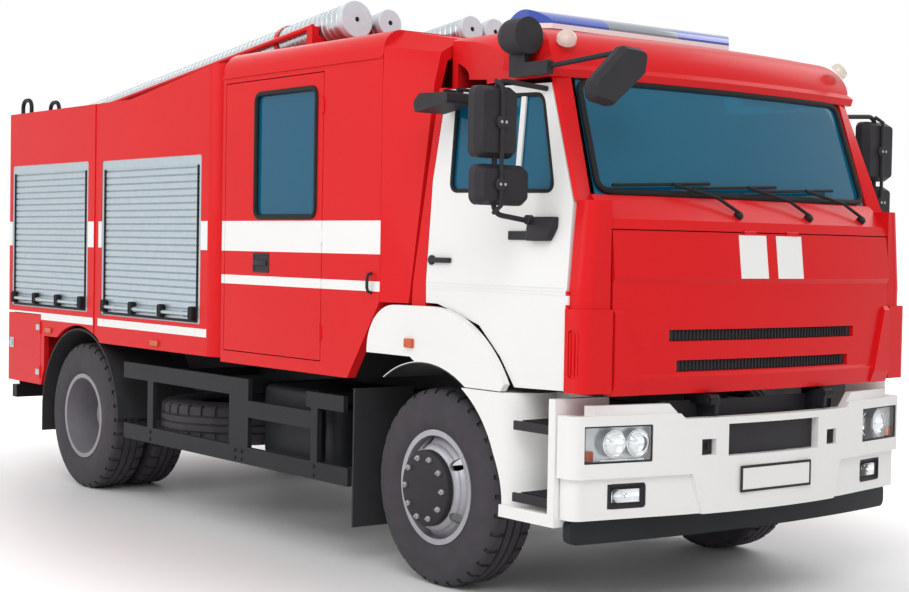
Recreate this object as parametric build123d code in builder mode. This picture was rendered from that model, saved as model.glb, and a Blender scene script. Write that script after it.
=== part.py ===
from build123d import *
import os
from collections import namedtuple
from math import asin, atan2, cos, degrees, radians, sin

os.makedirs("parts", exist_ok=True)

# Water tanker fire truck, millimetres: +X ahead, +Y to its left, +Z up, ground at z = 0

# Overall sizes
OVERALL_LENGTH = 6860
FRONT_OVERHANG = 1350
WHEELBASE = 4200
HALF_WIDTH = 1250
FRONT_AXLE_X = OVERALL_LENGTH / 2 - FRONT_OVERHANG
REAR_AXLE_X = FRONT_AXLE_X - WHEELBASE
SIDES = (("left", 1), ("right", -1))

# Fits and gaps
PIN_PLAY = 0.05
FACE_GAP = 0.3
PANEL_GAP = 6

# Hinges of doors and lids
HINGE_PIN = 5
KNUCKLE_RADIUS = 11
KNUCKLE_LENGTH = 44
KNUCKLE_ROOM = 1
UPRIGHT = (0, 0, 1)
CROSSWISE = (0, 1, 0)

# Mirror heads
HEAD_RADIUS = 45
HEAD_TAPER = 28

# Tyres and rims
TYRE_RADIUS = 527
TYRE_WIDTH = 279
TREAD_WIDTH = 214
SHOULDER_RADIUS = 497
BEAD_RADIUS = 290
BEAD_WIDTH = 236
RIM_WALL = 14
FRONT_TRACK = 2052
REAR_TRACK = 1826
TWIN_SPACING = 316
HUB_RADIUS = 105
SPINDLE_RADIUS = 42
HAND_HOLES = 5
HAND_HOLE_RADIUS = 32
HAND_HOLE_CIRCLE = 240

# Steering
KINGPIN_Y = 860
KINGPIN_RADIUS = 22
BOSS_RADIUS = 52
BOSS_HEIGHT = 90
EAR_THICKNESS = 36
STEERING_ARM = 190
TIE_ROD_DROP = 118
TIE_ROD_RADIUS = 18
TIE_PIN_RADIUS = 11
TIE_EYE_RADIUS = 28

# Frame
RAIL_TOP = 1000
RAIL_HEIGHT = 240
RAIL_OUTER_Y = 400
RAIL_FLANGE = 80
RAIL_WEB = 10
RAIL_FRONT = 1060
RAIL_REAR = -5390
RAIL_BOTTOM = RAIL_TOP - RAIL_HEIGHT

# Springs
SPRING_WIDTH = 80
LEAF_THICKNESS = 12
SPRING_Y = RAIL_OUTER_Y - RAIL_FLANGE / 2
HANGER_LENGTH = 90

# Front axle beam and rear axle casing
BEAM_DEPTH = 90
BEAM_TOP = 480
BEAM_HEIGHT = 90
CASING_RADIUS = 76
BANJO_RADIUS = 205
NOSE_LENGTH = 400
NOSE_RADIUS = 95

# Superstructure
BODY_FRONT = -2144
BODY_REAR = -5450
BODY_BOTTOM = 1080
BODY_TOP = 2780
BODY_WALL = 40
BODY_CORNER_RADIUS = 165
DECK_TOP = 2610
DECK_THICKNESS = 40
COAMING_START = -3400
COAMING_TOP = 2950
ARCH_RADIUS = 660
LOCKER_BOTTOM = 706
LOCKER_TOP = 1240
LOCKER_FRONT = -4845
LOCKER_DEPTH = 460
SHUTTER_DEPTH = 26
SHUTTER_RECESS = 8
SHUTTER_CORNER = 20

# Crew cabin
CREW_FRONT = -410
CREW_REAR = -2128
CREW_BOTTOM = 1060
CREW_LIP = 2822
CREW_WALL = 45
CREW_SHOULDER_Z = 2892
CREW_ROOF_HALF = HALF_WIDTH - 140
CREW_ROOF_TOP = 2990
CREW_ROOF_WALL = 40
DRIP_RAIL = 9
CREW_FOOT_Z = 1498
CREW_FOOT_REAR = -712
WINDOW_RADIUS = 50
GLASS = 8
GLASS_INSET = 12

# Cab
CAB_HALF_WIDTH = 1200
CAB_WALL = 50
LEAN_START = 1620
LEAN = 0.0874
CAB_REAR = -176
CAB_REAR_BEND_Z = 1517
CAB_REAR_LEAN = 0.0824
CAB_FLOOR_BOTTOM = 1200
CAB_FLOOR_TOP = 1250
CAB_FLOOR_HALF = 1140
TUNNEL_HALF = 430
TUNNEL_TOP = 1500
TUNNEL_FRONT = 790
TUNNEL_WALL = 40
ROOF_BOTTOM = 2650
ROOF_WALL = 60
ROOF_LIP_HALF = 1150
ROOF_CROWN = 2965
DOOR_HINGE_X = 1074
BOW_RADIUS = 7150
FRONT_X = 1305
LID_HALF = 1040
FIREWALL_X = (1165, 1205)
FIREWALL_BOTTOM = 1120
CORNER_X = 1080
LID_TOP = 1900
LID_BOTTOM = 1105
LID_WALL = 60
SCREEN_BOTTOM = 2072
SCREEN_BOTTOM_X = 1128
SCREEN_TOP_X = 930
SCREEN_HALF = 1044
PIVOT_X = 1300
PIVOT_Z = 1070
PIVOT_PIN_RADIUS = 15
PIVOT_EYE_RADIUS = 28
PIVOT_PLATE = 25
PIVOT_PIN_LENGTH = 40

# Bumper
BUMPER_BOTTOM = 510
BUMPER_TOP = 1060
BUMPER_WALL = 60
BUMPER_HALF = HALF_WIDTH - 10
BUMPER_REAR = 1062
BUMPER_LAMP_X = 1262
BUMPER_LAMP_Y = 800
BUMPER_CORNER_X = 1194
BUMPER_CORNER_RADIUS = 80
BUMPER_SHOULDER_Z = 1012
LEDGE_INSET = 22
LEDGE_HALF = HALF_WIDTH - 85
BUMPER_NOTCH_Z = 985
NOTCH_HALF = (610, 690)
BUMPER_ARM_FRONT = 1290
BUMPER_ARM_Y = (345, RAIL_OUTER_Y)

# Roof tubes: the slope is the fall of the tubes toward the rear
TUBE_SLOPE = 0.1147
TUBE_REAR = -5200

BOW_CENTRE_X = FRONT_AXLE_X + FRONT_X - BOW_RADIUS


def ahead(distance):
    """x of a place given by its distance ahead of the front axle."""
    return FRONT_AXLE_X + distance


def places(points):
    """Side-view corners and arcs whose x is given ahead of the front axle."""
    return [
        tuple(ahead(value) if place % 2 == 0 else value for place, value in enumerate(point))
        for point in points
    ]


def beside(points, side):
    """Plan corners and arcs of a piece on one side, x ahead of the front axle and y outward."""
    return [
        tuple(ahead(value) if place % 2 == 0 else side * value for place, value in enumerate(point))
        for point in points
    ]


# Rectangle in side view, x given ahead of the front axle
Area = namedtuple("Area", "rear front low high")


def frame_of(area, grow=0):
    """Corner points of an area, grown on every side."""
    rear, front = area.rear - grow, area.front + grow
    low, high = area.low - grow, area.high + grow
    return places(((rear, low), (front, low), (front, high), (rear, high)))


def across(side, inner, outer):
    """y limits, low then high, of a piece on one side."""
    return tuple(sorted((side * inner, side * outer)))


def block(x, y, z, mode=Mode.ADD):
    """Box between a low and a high limit on each axis."""
    with Locations(((x[0] + x[1]) / 2, (y[0] + y[1]) / 2, (z[0] + z[1]) / 2)):
        Box(x[1] - x[0], y[1] - y[0], z[1] - z[0], mode=mode)


def outline(points, plane, radius=0):
    """Closed face on a plane: two numbers are a corner, four are the middle and the end of an arc."""
    with BuildSketch(plane) as face:
        with BuildLine():
            last = points[0]
            for point in (*points[1:], points[0]):
                if len(point) == 4:
                    ThreePointArc(last, point[:2], point[2:])
                elif point != last:
                    Line(last, point)
                last = point[-2:]
        make_face()
        if radius:
            fillet(face.vertices(), radius)
    return face.sketch


def prism(points, plane, depth, radius=0, mode=Mode.ADD):
    """Outline on a plane, corners rounded by radius, extruded along its normal."""
    extrude(outline(points, plane, radius), amount=depth, dir=plane.z_dir, mode=mode)


def prism_across(points, y, radius=0, mode=Mode.ADD):
    """Side-view outline of (x, z) points extruded between two y limits."""
    plane = Plane(origin=(0, y[1], 0), x_dir=(1, 0, 0), z_dir=(0, -1, 0))
    prism(points, plane, y[1] - y[0], radius, mode)


def prism_along(points, x, radius=0, mode=Mode.ADD):
    """Front-view outline of (y, z) points extruded between two x limits."""
    prism(points, Plane.YZ.offset(x[0]), x[1] - x[0], radius, mode)


def prism_up(points, z, radius=0, mode=Mode.ADD):
    """Plan outline of (x, y) points extruded between two z limits."""
    prism(points, Plane.XY.offset(z[0]), z[1] - z[0], radius, mode)


def rod(start, end, radius, mode=Mode.ADD):
    """Round bar between two points."""
    run = Vector(*end) - Vector(*start)
    with BuildSketch(Plane(origin=start, z_dir=run)) as disc:
        Circle(radius)
    extrude(disc.sketch, amount=run.length, dir=run.normalized(), mode=mode)


def bent_tube(points, radius, bend):
    """Round bar along a run of points with its corners bent to a radius."""
    with BuildLine() as path:
        FilletPolyline(*points, radius=bend)
    start = Vector(*points[0])
    with BuildSketch(Plane(origin=start, z_dir=Vector(*points[1]) - start)) as disc:
        Circle(radius)
    sweep(disc.sketch, path=path.line)


def turned(points, centre, side, mode=Mode.ADD):
    """Section of (radius, outward distance) points turned about a wheel's own axis."""
    plane = Plane(origin=centre, x_dir=(0, 0, 1), z_dir=(-side, 0, 0))
    revolve(outline(points, plane), axis=Axis(centre, (0, 1, 0)), mode=mode)


def bowed(points, half_width, mode=Mode.ADD):
    """Centre-line section of (x, z) points swept round the plan curve of the cab's front."""
    half_angle = asin(half_width / BOW_RADIUS)
    ray = (cos(half_angle), -sin(half_angle), 0)
    plane = Plane(origin=(BOW_CENTRE_X, 0, 0), x_dir=ray, z_dir=(ray[1], -ray[0], 0))
    section = [
        tuple(ahead(value) - BOW_CENTRE_X if place % 2 == 0 else value for place, value in enumerate(point))
        for point in points
    ]
    axis = Axis((BOW_CENTRE_X, 0, 0), (0, 0, 1))
    revolve(outline(section, plane), axis=axis, revolution_arc=2 * degrees(half_angle), mode=mode)


def rounded_head(x, corners):
    """Mirror head: a rounded outline of (y, z) corners whose front half draws in."""
    middle = (x[0] + x[1]) / 2
    prism_along(corners, (x[0], middle), HEAD_RADIUS)
    front = outline(corners, Plane.YZ.offset(middle), HEAD_RADIUS)
    extrude(front, amount=x[1] - middle, dir=(1, 0, 0), taper=HEAD_TAPER)


def hinge_seat(spots, direction):
    """Fixed halves of a door's hinges: two knuckles with the pin, and room for the door's knuckle."""
    for spot in spots:
        along = Vector(*direction)
        near = along * (KNUCKLE_LENGTH / 2 + FACE_GAP)
        far = along * KNUCKLE_LENGTH
        centre = Vector(*spot)
        rod(centre - near, centre + near, KNUCKLE_RADIUS + KNUCKLE_ROOM, Mode.SUBTRACT)
        rod(centre + near, centre + far, KNUCKLE_RADIUS)
        rod(centre - far, centre - near, KNUCKLE_RADIUS)
        rod(centre - far, centre + far, HINGE_PIN)


def hinge_leaf(spots, direction):
    """Moving halves of a door's hinges: a knuckle bored for the pin, and room for the fixed knuckles."""
    for spot in spots:
        along = Vector(*direction)
        near = along * (KNUCKLE_LENGTH / 2)
        far = along * (KNUCKLE_LENGTH + PANEL_GAP)
        centre = Vector(*spot)
        rod(centre + near, centre + far, KNUCKLE_RADIUS + KNUCKLE_ROOM, Mode.SUBTRACT)
        rod(centre - far, centre - near, KNUCKLE_RADIUS + KNUCKLE_ROOM, Mode.SUBTRACT)
        rod(centre - near, centre + near, KNUCKLE_RADIUS)
        rod(centre - near, centre + near, HINGE_PIN + PIN_PLAY, Mode.SUBTRACT)


def save(piece, name):
    """Label a finished piece and write it."""
    piece.part.label = name
    export_step(piece.part, f"parts/{name}.step")


# Frame rails: channels open to the inside, with the spring hangers and the pivots that the cab tilts about
SpringSet = namedtuple("SpringSet", "axle_x seat_z half_length camber leaves")
SPRINGS = (
    SpringSet(FRONT_AXLE_X, BEAM_TOP, 690, 95, 6),
    SpringSet(REAR_AXLE_X, TYRE_RADIUS + CASING_RADIUS + 8, 720, 40, 7),
)


def leaf_circle(spring):
    """Inner radius and centre height of the arcs that the leaves of one spring follow."""
    radius = (spring.half_length ** 2 + spring.camber ** 2) / (2 * spring.camber)
    return radius, spring.seat_z + spring.leaves * LEAF_THICKNESS + radius


def eye_height(spring):
    """Height of the top leaf's upper face at the spring's ends."""
    return spring.seat_z + spring.leaves * LEAF_THICKNESS + spring.camber


PIVOT_ARM = places(((960, 820), (1080, 820), (1240, 1000), (1315, 1000), (PIVOT_X + 20, PIVOT_Z + 10),
                    (1240, PIVOT_Z + 20), (960, 940)))
with BuildPart() as frame_rails:
    inner = RAIL_OUTER_Y - RAIL_FLANGE
    web = RAIL_OUTER_Y - RAIL_WEB
    channel = (
        (RAIL_OUTER_Y, RAIL_BOTTOM), (RAIL_OUTER_Y, RAIL_TOP), (inner, RAIL_TOP),
        (inner, RAIL_TOP - RAIL_WEB), (web, RAIL_TOP - RAIL_WEB), (web, RAIL_BOTTOM + RAIL_WEB),
        (inner, RAIL_BOTTOM + RAIL_WEB), (inner, RAIL_BOTTOM),
    )
    for name, side in SIDES:
        prism_along([(side * y, z) for y, z in channel], (ahead(RAIL_REAR), ahead(RAIL_FRONT)))
        for spring in SPRINGS:
            for end in (-1, 1):
                x = spring.axle_x + end * (spring.half_length - HANGER_LENGTH / 2)
                hanger_x = (x - HANGER_LENGTH / 2, x + HANGER_LENGTH / 2)
                hanger_z = (eye_height(spring), RAIL_BOTTOM)
                block(hanger_x, across(side, inner, RAIL_OUTER_Y), hanger_z)
        plate_y = (RAIL_OUTER_Y, RAIL_OUTER_Y + PIVOT_PLATE)
        prism_across(PIVOT_ARM, across(side, *plate_y))
        ends = [(ahead(PIVOT_X), side * y, PIVOT_Z) for y in (*plate_y, plate_y[1] + PIVOT_PIN_LENGTH)]
        rod(ends[0], ends[1], PIVOT_EYE_RADIUS)
        rod(ends[1], ends[2], PIVOT_PIN_RADIUS)
save(frame_rails, "frame_rails")

# Crossmembers between the rails, the last one with the towing jaw and its vertical pin hole
CROSSMEMBERS = (1000, -1450, -2500, -3350, -4950, -5340)
CROSSMEMBER_LENGTH = 80
CROSSMEMBER_Z = (830, 960)
JAW_Z = (838, 952)
JAW_GAP = 46
JAW_HALF = 60
JAW_REAR = -5490
JAW_PIN_RADIUS = 20
JAW_PIN_X = -5445
with BuildPart() as frame_crossmembers:
    for x in CROSSMEMBERS:
        limits = (ahead(x) - CROSSMEMBER_LENGTH / 2, ahead(x) + CROSSMEMBER_LENGTH / 2)
        block(limits, (-web, web), CROSSMEMBER_Z)
    block((ahead(JAW_REAR), ahead(CROSSMEMBERS[-1])), (-JAW_HALF, JAW_HALF), JAW_Z)
    mouth = (sum(JAW_Z) / 2 - JAW_GAP / 2, sum(JAW_Z) / 2 + JAW_GAP / 2)
    block((ahead(JAW_REAR) - 1, ahead(JAW_PIN_X) + JAW_HALF / 2), (-JAW_HALF, JAW_HALF), mouth, Mode.SUBTRACT)
    pin_hole = ((ahead(JAW_PIN_X), 0, JAW_Z[0]), (ahead(JAW_PIN_X), 0, JAW_Z[1]))
    rod(*pin_hole, JAW_PIN_RADIUS, Mode.SUBTRACT)
save(frame_crossmembers, "frame_crossmembers")

# Leaf springs: stacked arcs, each shorter than the one above it
with BuildPart() as leaf_springs:
    for name, side in SIDES:
        for spring in SPRINGS:
            radius, centre_z = leaf_circle(spring)
            limits = across(side, SPRING_Y - SPRING_WIDTH / 2, SPRING_Y + SPRING_WIDTH / 2)
            plane = Plane(origin=(spring.axle_x, limits[1], centre_z), x_dir=(1, 0, 0), z_dir=(0, -1, 0))
            with BuildSketch(plane) as leaves:
                for leaf in range(spring.leaves):
                    top = radius + leaf * LEAF_THICKNESS
                    low = top + LEAF_THICKNESS
                    half = asin(spring.half_length / radius) * (1 - 0.8 * leaf / spring.leaves)
                    ends = [(sin(half), -cos(half)), (-sin(half), -cos(half))]
                    with BuildLine():
                        start, end = [(top * y, top * z) for y, z in ends]
                        upper = ThreePointArc(start, (0, -top), end)
                        start, end = [(low * y, low * z) for y, z in ends]
                        lower = ThreePointArc(start, (0, -low), end)
                        Line(upper @ 0, lower @ 0)
                        Line(upper @ 1, lower @ 1)
                    make_face()
            extrude(leaves.sketch, amount=SPRING_WIDTH, dir=(0, -1, 0))
save(leaf_springs, "leaf_springs")

# Front axle: dropped beam, kingpin bosses and kingpins
with BuildPart() as front_axle:
    low = BEAM_TOP - BEAM_HEIGHT
    boss_z = (TYRE_RADIUS - BOSS_HEIGHT / 2, TYRE_RADIUS + BOSS_HEIGHT / 2)
    half_beam = (
        (KINGPIN_Y, boss_z[0]), (KINGPIN_Y, boss_z[1]), (700, boss_z[1]), (520, BEAM_TOP),
        (-520, BEAM_TOP), (-700, boss_z[1]), (-KINGPIN_Y, boss_z[1]), (-KINGPIN_Y, boss_z[0]),
        (-700, boss_z[0]), (-560, low), (560, low), (700, boss_z[0]),
    )
    prism_along(half_beam, (FRONT_AXLE_X - BEAM_DEPTH / 2, FRONT_AXLE_X + BEAM_DEPTH / 2))
    for name, side in SIDES:
        y = side * KINGPIN_Y
        rod((FRONT_AXLE_X, y, boss_z[0]), (FRONT_AXLE_X, y, boss_z[1]), BOSS_RADIUS)
        pin_reach = EAR_THICKNESS + FACE_GAP
        pin_z = (boss_z[0] - pin_reach, boss_z[1] + pin_reach)
        rod((FRONT_AXLE_X, y, pin_z[0]), (FRONT_AXLE_X, y, pin_z[1]), KINGPIN_RADIUS)
save(front_axle, "front_axle")

# Steering knuckles: two ears round the boss, a spindle and an arm with the tie rod's pin
ROD_Z = TYRE_RADIUS - TIE_ROD_DROP
PIN_LOW = ROD_Z - TIE_ROD_RADIUS - 8
HUB_INNER = 40
WEB_INNER = BOSS_RADIUS + 8
WEB_OUTER = WEB_INNER + 34
for name, side in SIDES:
    with BuildPart() as knuckle:
        pin = (FRONT_AXLE_X, side * KINGPIN_Y)
        ears = ((boss_z[0] - FACE_GAP - EAR_THICKNESS, boss_z[0] - FACE_GAP),
                (boss_z[1] + FACE_GAP, boss_z[1] + FACE_GAP + EAR_THICKNESS))
        for ear in ears:
            rod((*pin, ear[0]), (*pin, ear[1]), BOSS_RADIUS)
            ear_x = (pin[0] - BOSS_RADIUS, pin[0] + BOSS_RADIUS)
            block(ear_x, across(side, KINGPIN_Y, KINGPIN_Y + WEB_OUTER), ear)
        web_y = across(side, KINGPIN_Y + WEB_INNER, KINGPIN_Y + WEB_OUTER)
        block((pin[0] - BOSS_RADIUS, pin[0] + BOSS_RADIUS), web_y, (ears[0][0], ears[1][1]))
        spindle_y = (side * (KINGPIN_Y + WEB_INNER), side * (FRONT_TRACK / 2 + HUB_INNER))
        rod((pin[0], spindle_y[0], TYRE_RADIUS), (pin[0], spindle_y[1], TYRE_RADIUS), SPINDLE_RADIUS)
        arm_z = (ears[0][0], ears[0][0] + EAR_THICKNESS)
        arm_y = (pin[1] - TIE_EYE_RADIUS, pin[1] + TIE_EYE_RADIUS)
        block((pin[0] - STEERING_ARM, pin[0] - BOSS_RADIUS / 2), arm_y, arm_z)
        arm_end = (pin[0] - STEERING_ARM, pin[1])
        rod((*arm_end, arm_z[0]), (*arm_end, arm_z[1]), TIE_EYE_RADIUS)
        rod((*arm_end, PIN_LOW), (*arm_end, arm_z[0]), TIE_PIN_RADIUS)
        rod((*pin, ears[0][0]), (*pin, ears[1][1]), KINGPIN_RADIUS + PIN_PLAY, Mode.SUBTRACT)
    save(knuckle, f"knuckle_{name}")

# Tie rod behind the axle, with an eye on each arm's pin
with BuildPart() as tie_rod:
    rod_x = FRONT_AXLE_X - STEERING_ARM
    rod((rod_x, -KINGPIN_Y, ROD_Z), (rod_x, KINGPIN_Y, ROD_Z), TIE_ROD_RADIUS)
    eye_z = (PIN_LOW, arm_z[0] - FACE_GAP)
    for name, side in SIDES:
        rod((rod_x, side * KINGPIN_Y, eye_z[0]), (rod_x, side * KINGPIN_Y, eye_z[1]), TIE_EYE_RADIUS)
    for name, side in SIDES:
        eye = (rod_x, side * KINGPIN_Y)
        rod((*eye, eye_z[0]), (*eye, eye_z[1]), TIE_PIN_RADIUS + PIN_PLAY, Mode.SUBTRACT)
save(tie_rod, "tie_rod")

# Rear axle: casing, round centre with its nose ahead, and the spindles
TWIN_INNER_Y = REAR_TRACK / 2 - TWIN_SPACING / 2
TWIN_OUTER_Y = REAR_TRACK / 2 + TWIN_SPACING / 2
CASING_END = TWIN_INNER_Y - BEAD_WIDTH / 2 - 10
with BuildPart() as rear_axle:
    rod((REAR_AXLE_X, -CASING_END, TYRE_RADIUS), (REAR_AXLE_X, CASING_END, TYRE_RADIUS), CASING_RADIUS)
    spindle_end = REAR_TRACK / 2 + HUB_INNER
    rod((REAR_AXLE_X, -spindle_end, TYRE_RADIUS), (REAR_AXLE_X, spindle_end, TYRE_RADIUS), SPINDLE_RADIUS)
    turned(
        [(0, -150), (120, -150), (BANJO_RADIUS, -70), (BANJO_RADIUS, 70), (120, 150), (0, 150)],
        (REAR_AXLE_X, 0, TYRE_RADIUS), 1,
    )
    rod((REAR_AXLE_X, 0, TYRE_RADIUS), (REAR_AXLE_X + NOSE_LENGTH, 0, TYRE_RADIUS), NOSE_RADIUS)
    for name, side in SIDES:
        seat_y = across(side, SPRING_Y - SPRING_WIDTH / 2, SPRING_Y + SPRING_WIDTH / 2)
        seat_z = (TYRE_RADIUS, SPRINGS[1].seat_z)
        block((REAR_AXLE_X - CASING_RADIUS, REAR_AXLE_X + CASING_RADIUS), seat_y, seat_z)
save(rear_axle, "rear_axle")

# Tyres: the inner tyre of each twin pair has plain shoulders
half_tread = TREAD_WIDTH / 2
half_tyre = TYRE_WIDTH / 2
half_bead = BEAD_WIDTH / 2
SHOULDERED = (
    (BEAD_RADIUS, -half_bead), (SHOULDER_RADIUS, -half_tyre), (TYRE_RADIUS, -half_tread),
    (TYRE_RADIUS, half_tread), (SHOULDER_RADIUS, half_tyre), (BEAD_RADIUS, half_bead),
)
PLAIN = (
    (BEAD_RADIUS, -half_bead), (TYRE_RADIUS, -half_tyre), (TYRE_RADIUS, half_tyre), (BEAD_RADIUS, half_bead),
)


# Rim flange outside the bead, and the wheel's disc
FLANGE_Y = (half_bead + 3, half_bead + 13)
FLANGE_OUTER = BEAD_RADIUS + 16
DISC_RADIUS = HUB_RADIUS + 62
DISC_CONE = -34
HUB_EDGE = 14


def wheel_section(face, hub_face):
    """Steel wheel section: flanged barrel, a dished disc at outward distance face, and the hub."""
    barrel = BEAD_RADIUS - FACE_GAP
    inside = barrel - RIM_WALL
    return (
        (barrel, -half_bead), (barrel, FLANGE_Y[0]), (FLANGE_OUTER, FLANGE_Y[0]), (FLANGE_OUTER, FLANGE_Y[1]),
        (inside, FLANGE_Y[1]), (inside - 10, face + DISC_CONE), (DISC_RADIUS, face), (HUB_RADIUS, face),
        (HUB_RADIUS, hub_face - HUB_EDGE), (HUB_RADIUS - HUB_EDGE, hub_face), (0, hub_face),
        (0, face - RIM_WALL), (DISC_RADIUS, face - RIM_WALL),
        (inside - 10, face + DISC_CONE - 2 * RIM_WALL), (inside, -half_bead),
    )


# Front wheels: the disc bulges outward, and the hub's round cover stands past the tyre
FRONT_DISC = 165
COVER_RADIUS = 200
COVER_FACE = 203
COVER_EDGE = 12


def front_wheel_section():
    """Section of a front wheel: flanged barrel, bulged disc with a rounded shoulder, and the hub's cover."""
    barrel = BEAD_RADIUS - FACE_GAP
    inside = barrel - RIM_WALL
    return (
        (barrel, -half_bead), (barrel, FLANGE_Y[0]), (FLANGE_OUTER, FLANGE_Y[0]), (FLANGE_OUTER, FLANGE_Y[1]),
        (inside, FLANGE_Y[1]), (inside, 84), (234, 134), (221, 154, COVER_RADIUS, FRONT_DISC),
        (COVER_RADIUS, COVER_FACE - COVER_EDGE), (COVER_RADIUS - COVER_EDGE, COVER_FACE), (0, COVER_FACE),
        (0, FRONT_DISC - RIM_WALL), (196, FRONT_DISC - RIM_WALL), (212, 140, 224, 124), (inside, 62),
        (inside, -half_bead),
    )


for name, side in SIDES:
    centre = (FRONT_AXLE_X, side * FRONT_TRACK / 2, TYRE_RADIUS)
    with BuildPart() as front_tyre:
        turned(SHOULDERED, centre, side)
    save(front_tyre, f"front_tyre_{name}")

    with BuildPart() as front_rim:
        turned(front_wheel_section(), centre, side)
        hub_start = (centre[0], side * (KINGPIN_Y + WEB_OUTER + 6), centre[2])
        hub_end = (centre[0], centre[1] + side * FRONT_DISC, centre[2])
        rod(hub_start, hub_end, HUB_RADIUS)
        bore_end = (centre[0], centre[1] + side * (HUB_INNER + FACE_GAP), centre[2])
        rod(hub_start, bore_end, SPINDLE_RADIUS + PIN_PLAY, Mode.SUBTRACT)
        for hole in range(HAND_HOLES):
            angle = radians((hole + 0.5) * 360 / HAND_HOLES)
            x = centre[0] + HAND_HOLE_CIRCLE * cos(angle)
            z = centre[2] + HAND_HOLE_CIRCLE * sin(angle)
            rod((x, centre[1], z), (x, side * FRONT_TRACK, z), HAND_HOLE_RADIUS, Mode.SUBTRACT)
    save(front_rim, f"front_wheel_{name}")

    middle = (REAR_AXLE_X, side * REAR_TRACK / 2, TYRE_RADIUS)
    with BuildPart() as rear_tyres:
        turned(SHOULDERED, (REAR_AXLE_X, side * TWIN_OUTER_Y, TYRE_RADIUS), side)
        turned(PLAIN, (REAR_AXLE_X, side * TWIN_INNER_Y, TYRE_RADIUS), side)
    save(rear_tyres, f"rear_tyres_{name}")

    with BuildPart() as rear_rims:
        dish = TWIN_SPACING / 2 - RIM_WALL
        outer_section = wheel_section(-dish, -dish + 120)
        turned(outer_section, (REAR_AXLE_X, side * TWIN_OUTER_Y, TYRE_RADIUS), side)
        barrel = BEAD_RADIUS - FACE_GAP
        inner_section = (
            (barrel, -half_bead), (barrel, half_bead), (barrel - RIM_WALL, half_bead),
            (HUB_RADIUS + 75, dish + RIM_WALL), (HUB_RADIUS, dish + RIM_WALL), (HUB_RADIUS, dish),
            (HUB_RADIUS + 75, dish),
            (barrel - 2 * RIM_WALL, half_bead - RIM_WALL), (barrel - RIM_WALL, -half_bead),
        )
        turned(inner_section, (REAR_AXLE_X, side * TWIN_INNER_Y, TYRE_RADIUS), side)
        hub_limits = (side * (CASING_END + 6), side * (REAR_TRACK / 2 + RIM_WALL))
        rod((middle[0], hub_limits[0], middle[2]), (middle[0], hub_limits[1], middle[2]), HUB_RADIUS)
        bore_end = (middle[0], side * (spindle_end + FACE_GAP), middle[2])
        rod((middle[0], hub_limits[0], middle[2]), bore_end, SPINDLE_RADIUS + PIN_PLAY, Mode.SUBTRACT)
    save(rear_rims, f"rear_wheels_{name}")

# Spare wheel lying flat under the right-hand rail
SPARE_X = -2890
SPARE_Y = -660
SPARE_TOP = 745
spare_axis = Axis((ahead(SPARE_X), SPARE_Y, 0), (0, 0, 1))
spare_middle = (ahead(SPARE_X), SPARE_Y, SPARE_TOP - half_tyre)
spare_plane = Plane(origin=spare_middle, x_dir=(1, 0, 0), z_dir=(0, -1, 0))
with BuildPart() as spare_tyre:
    with BuildSketch(spare_plane):
        Polygon(*PLAIN, align=None)
    revolve(axis=spare_axis)
save(spare_tyre, "spare_tyre")

# Engine mass between the rails, and the gearbox with its shaft to the rear axle
ENGINE_X = (-380, 720)
ENGINE_HALF = 310
ENGINE_Z = (620, 1420)
GEARBOX_REAR = -1150
GEARBOX_HALF = 210
GEARBOX_Z = (640, 960)
SHAFT_RADIUS = 45
FLANGE_RADIUS = 80
FLANGE_LENGTH = 40
nose_x = REAR_AXLE_X + NOSE_LENGTH
with BuildPart() as driveline:
    block((ahead(ENGINE_X[0]), ahead(ENGINE_X[1])), (-ENGINE_HALF, ENGINE_HALF), ENGINE_Z)
    chamfer(driveline.edges().filter_by(Axis.X).group_by(Axis.Z)[-1], 120)
    block((ahead(GEARBOX_REAR), ahead(ENGINE_X[0])), (-GEARBOX_HALF, GEARBOX_HALF), GEARBOX_Z)
    shaft_z = (GEARBOX_Z[0] + FLANGE_RADIUS, TYRE_RADIUS)
    rod((nose_x, 0, shaft_z[1]), (nose_x + FLANGE_LENGTH, 0, shaft_z[1]), FLANGE_RADIUS)
    rod((nose_x + FLANGE_LENGTH / 2, 0, shaft_z[1]), (ahead(GEARBOX_REAR) + 5, 0, shaft_z[0]), SHAFT_RADIUS)
save(driveline, "driveline")

# Fuel tank, battery box, air tank and the spare wheel's rim on its hanger, on brackets from the rails
BOX_X = (-1790, -1240)
BOX_Y = (480, 1120)
BOX_Z = (500, 940)
BRACKET_Z = (820, 900)
BRACKET_LENGTH = 60
AIR_TANK = (-1130, -1000)
AIR_TANK_RADIUS = 92
AIR_TANK_Z = (505, 830)
HANGER_Z = (790, 850)


def bracket(x, side, reach, z):
    """Arm that stands out from a rail's web to a given y."""
    limits = (ahead(x) - BRACKET_LENGTH / 2, ahead(x) + BRACKET_LENGTH / 2)
    block(limits, across(side, RAIL_OUTER_Y, reach), z)


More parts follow.
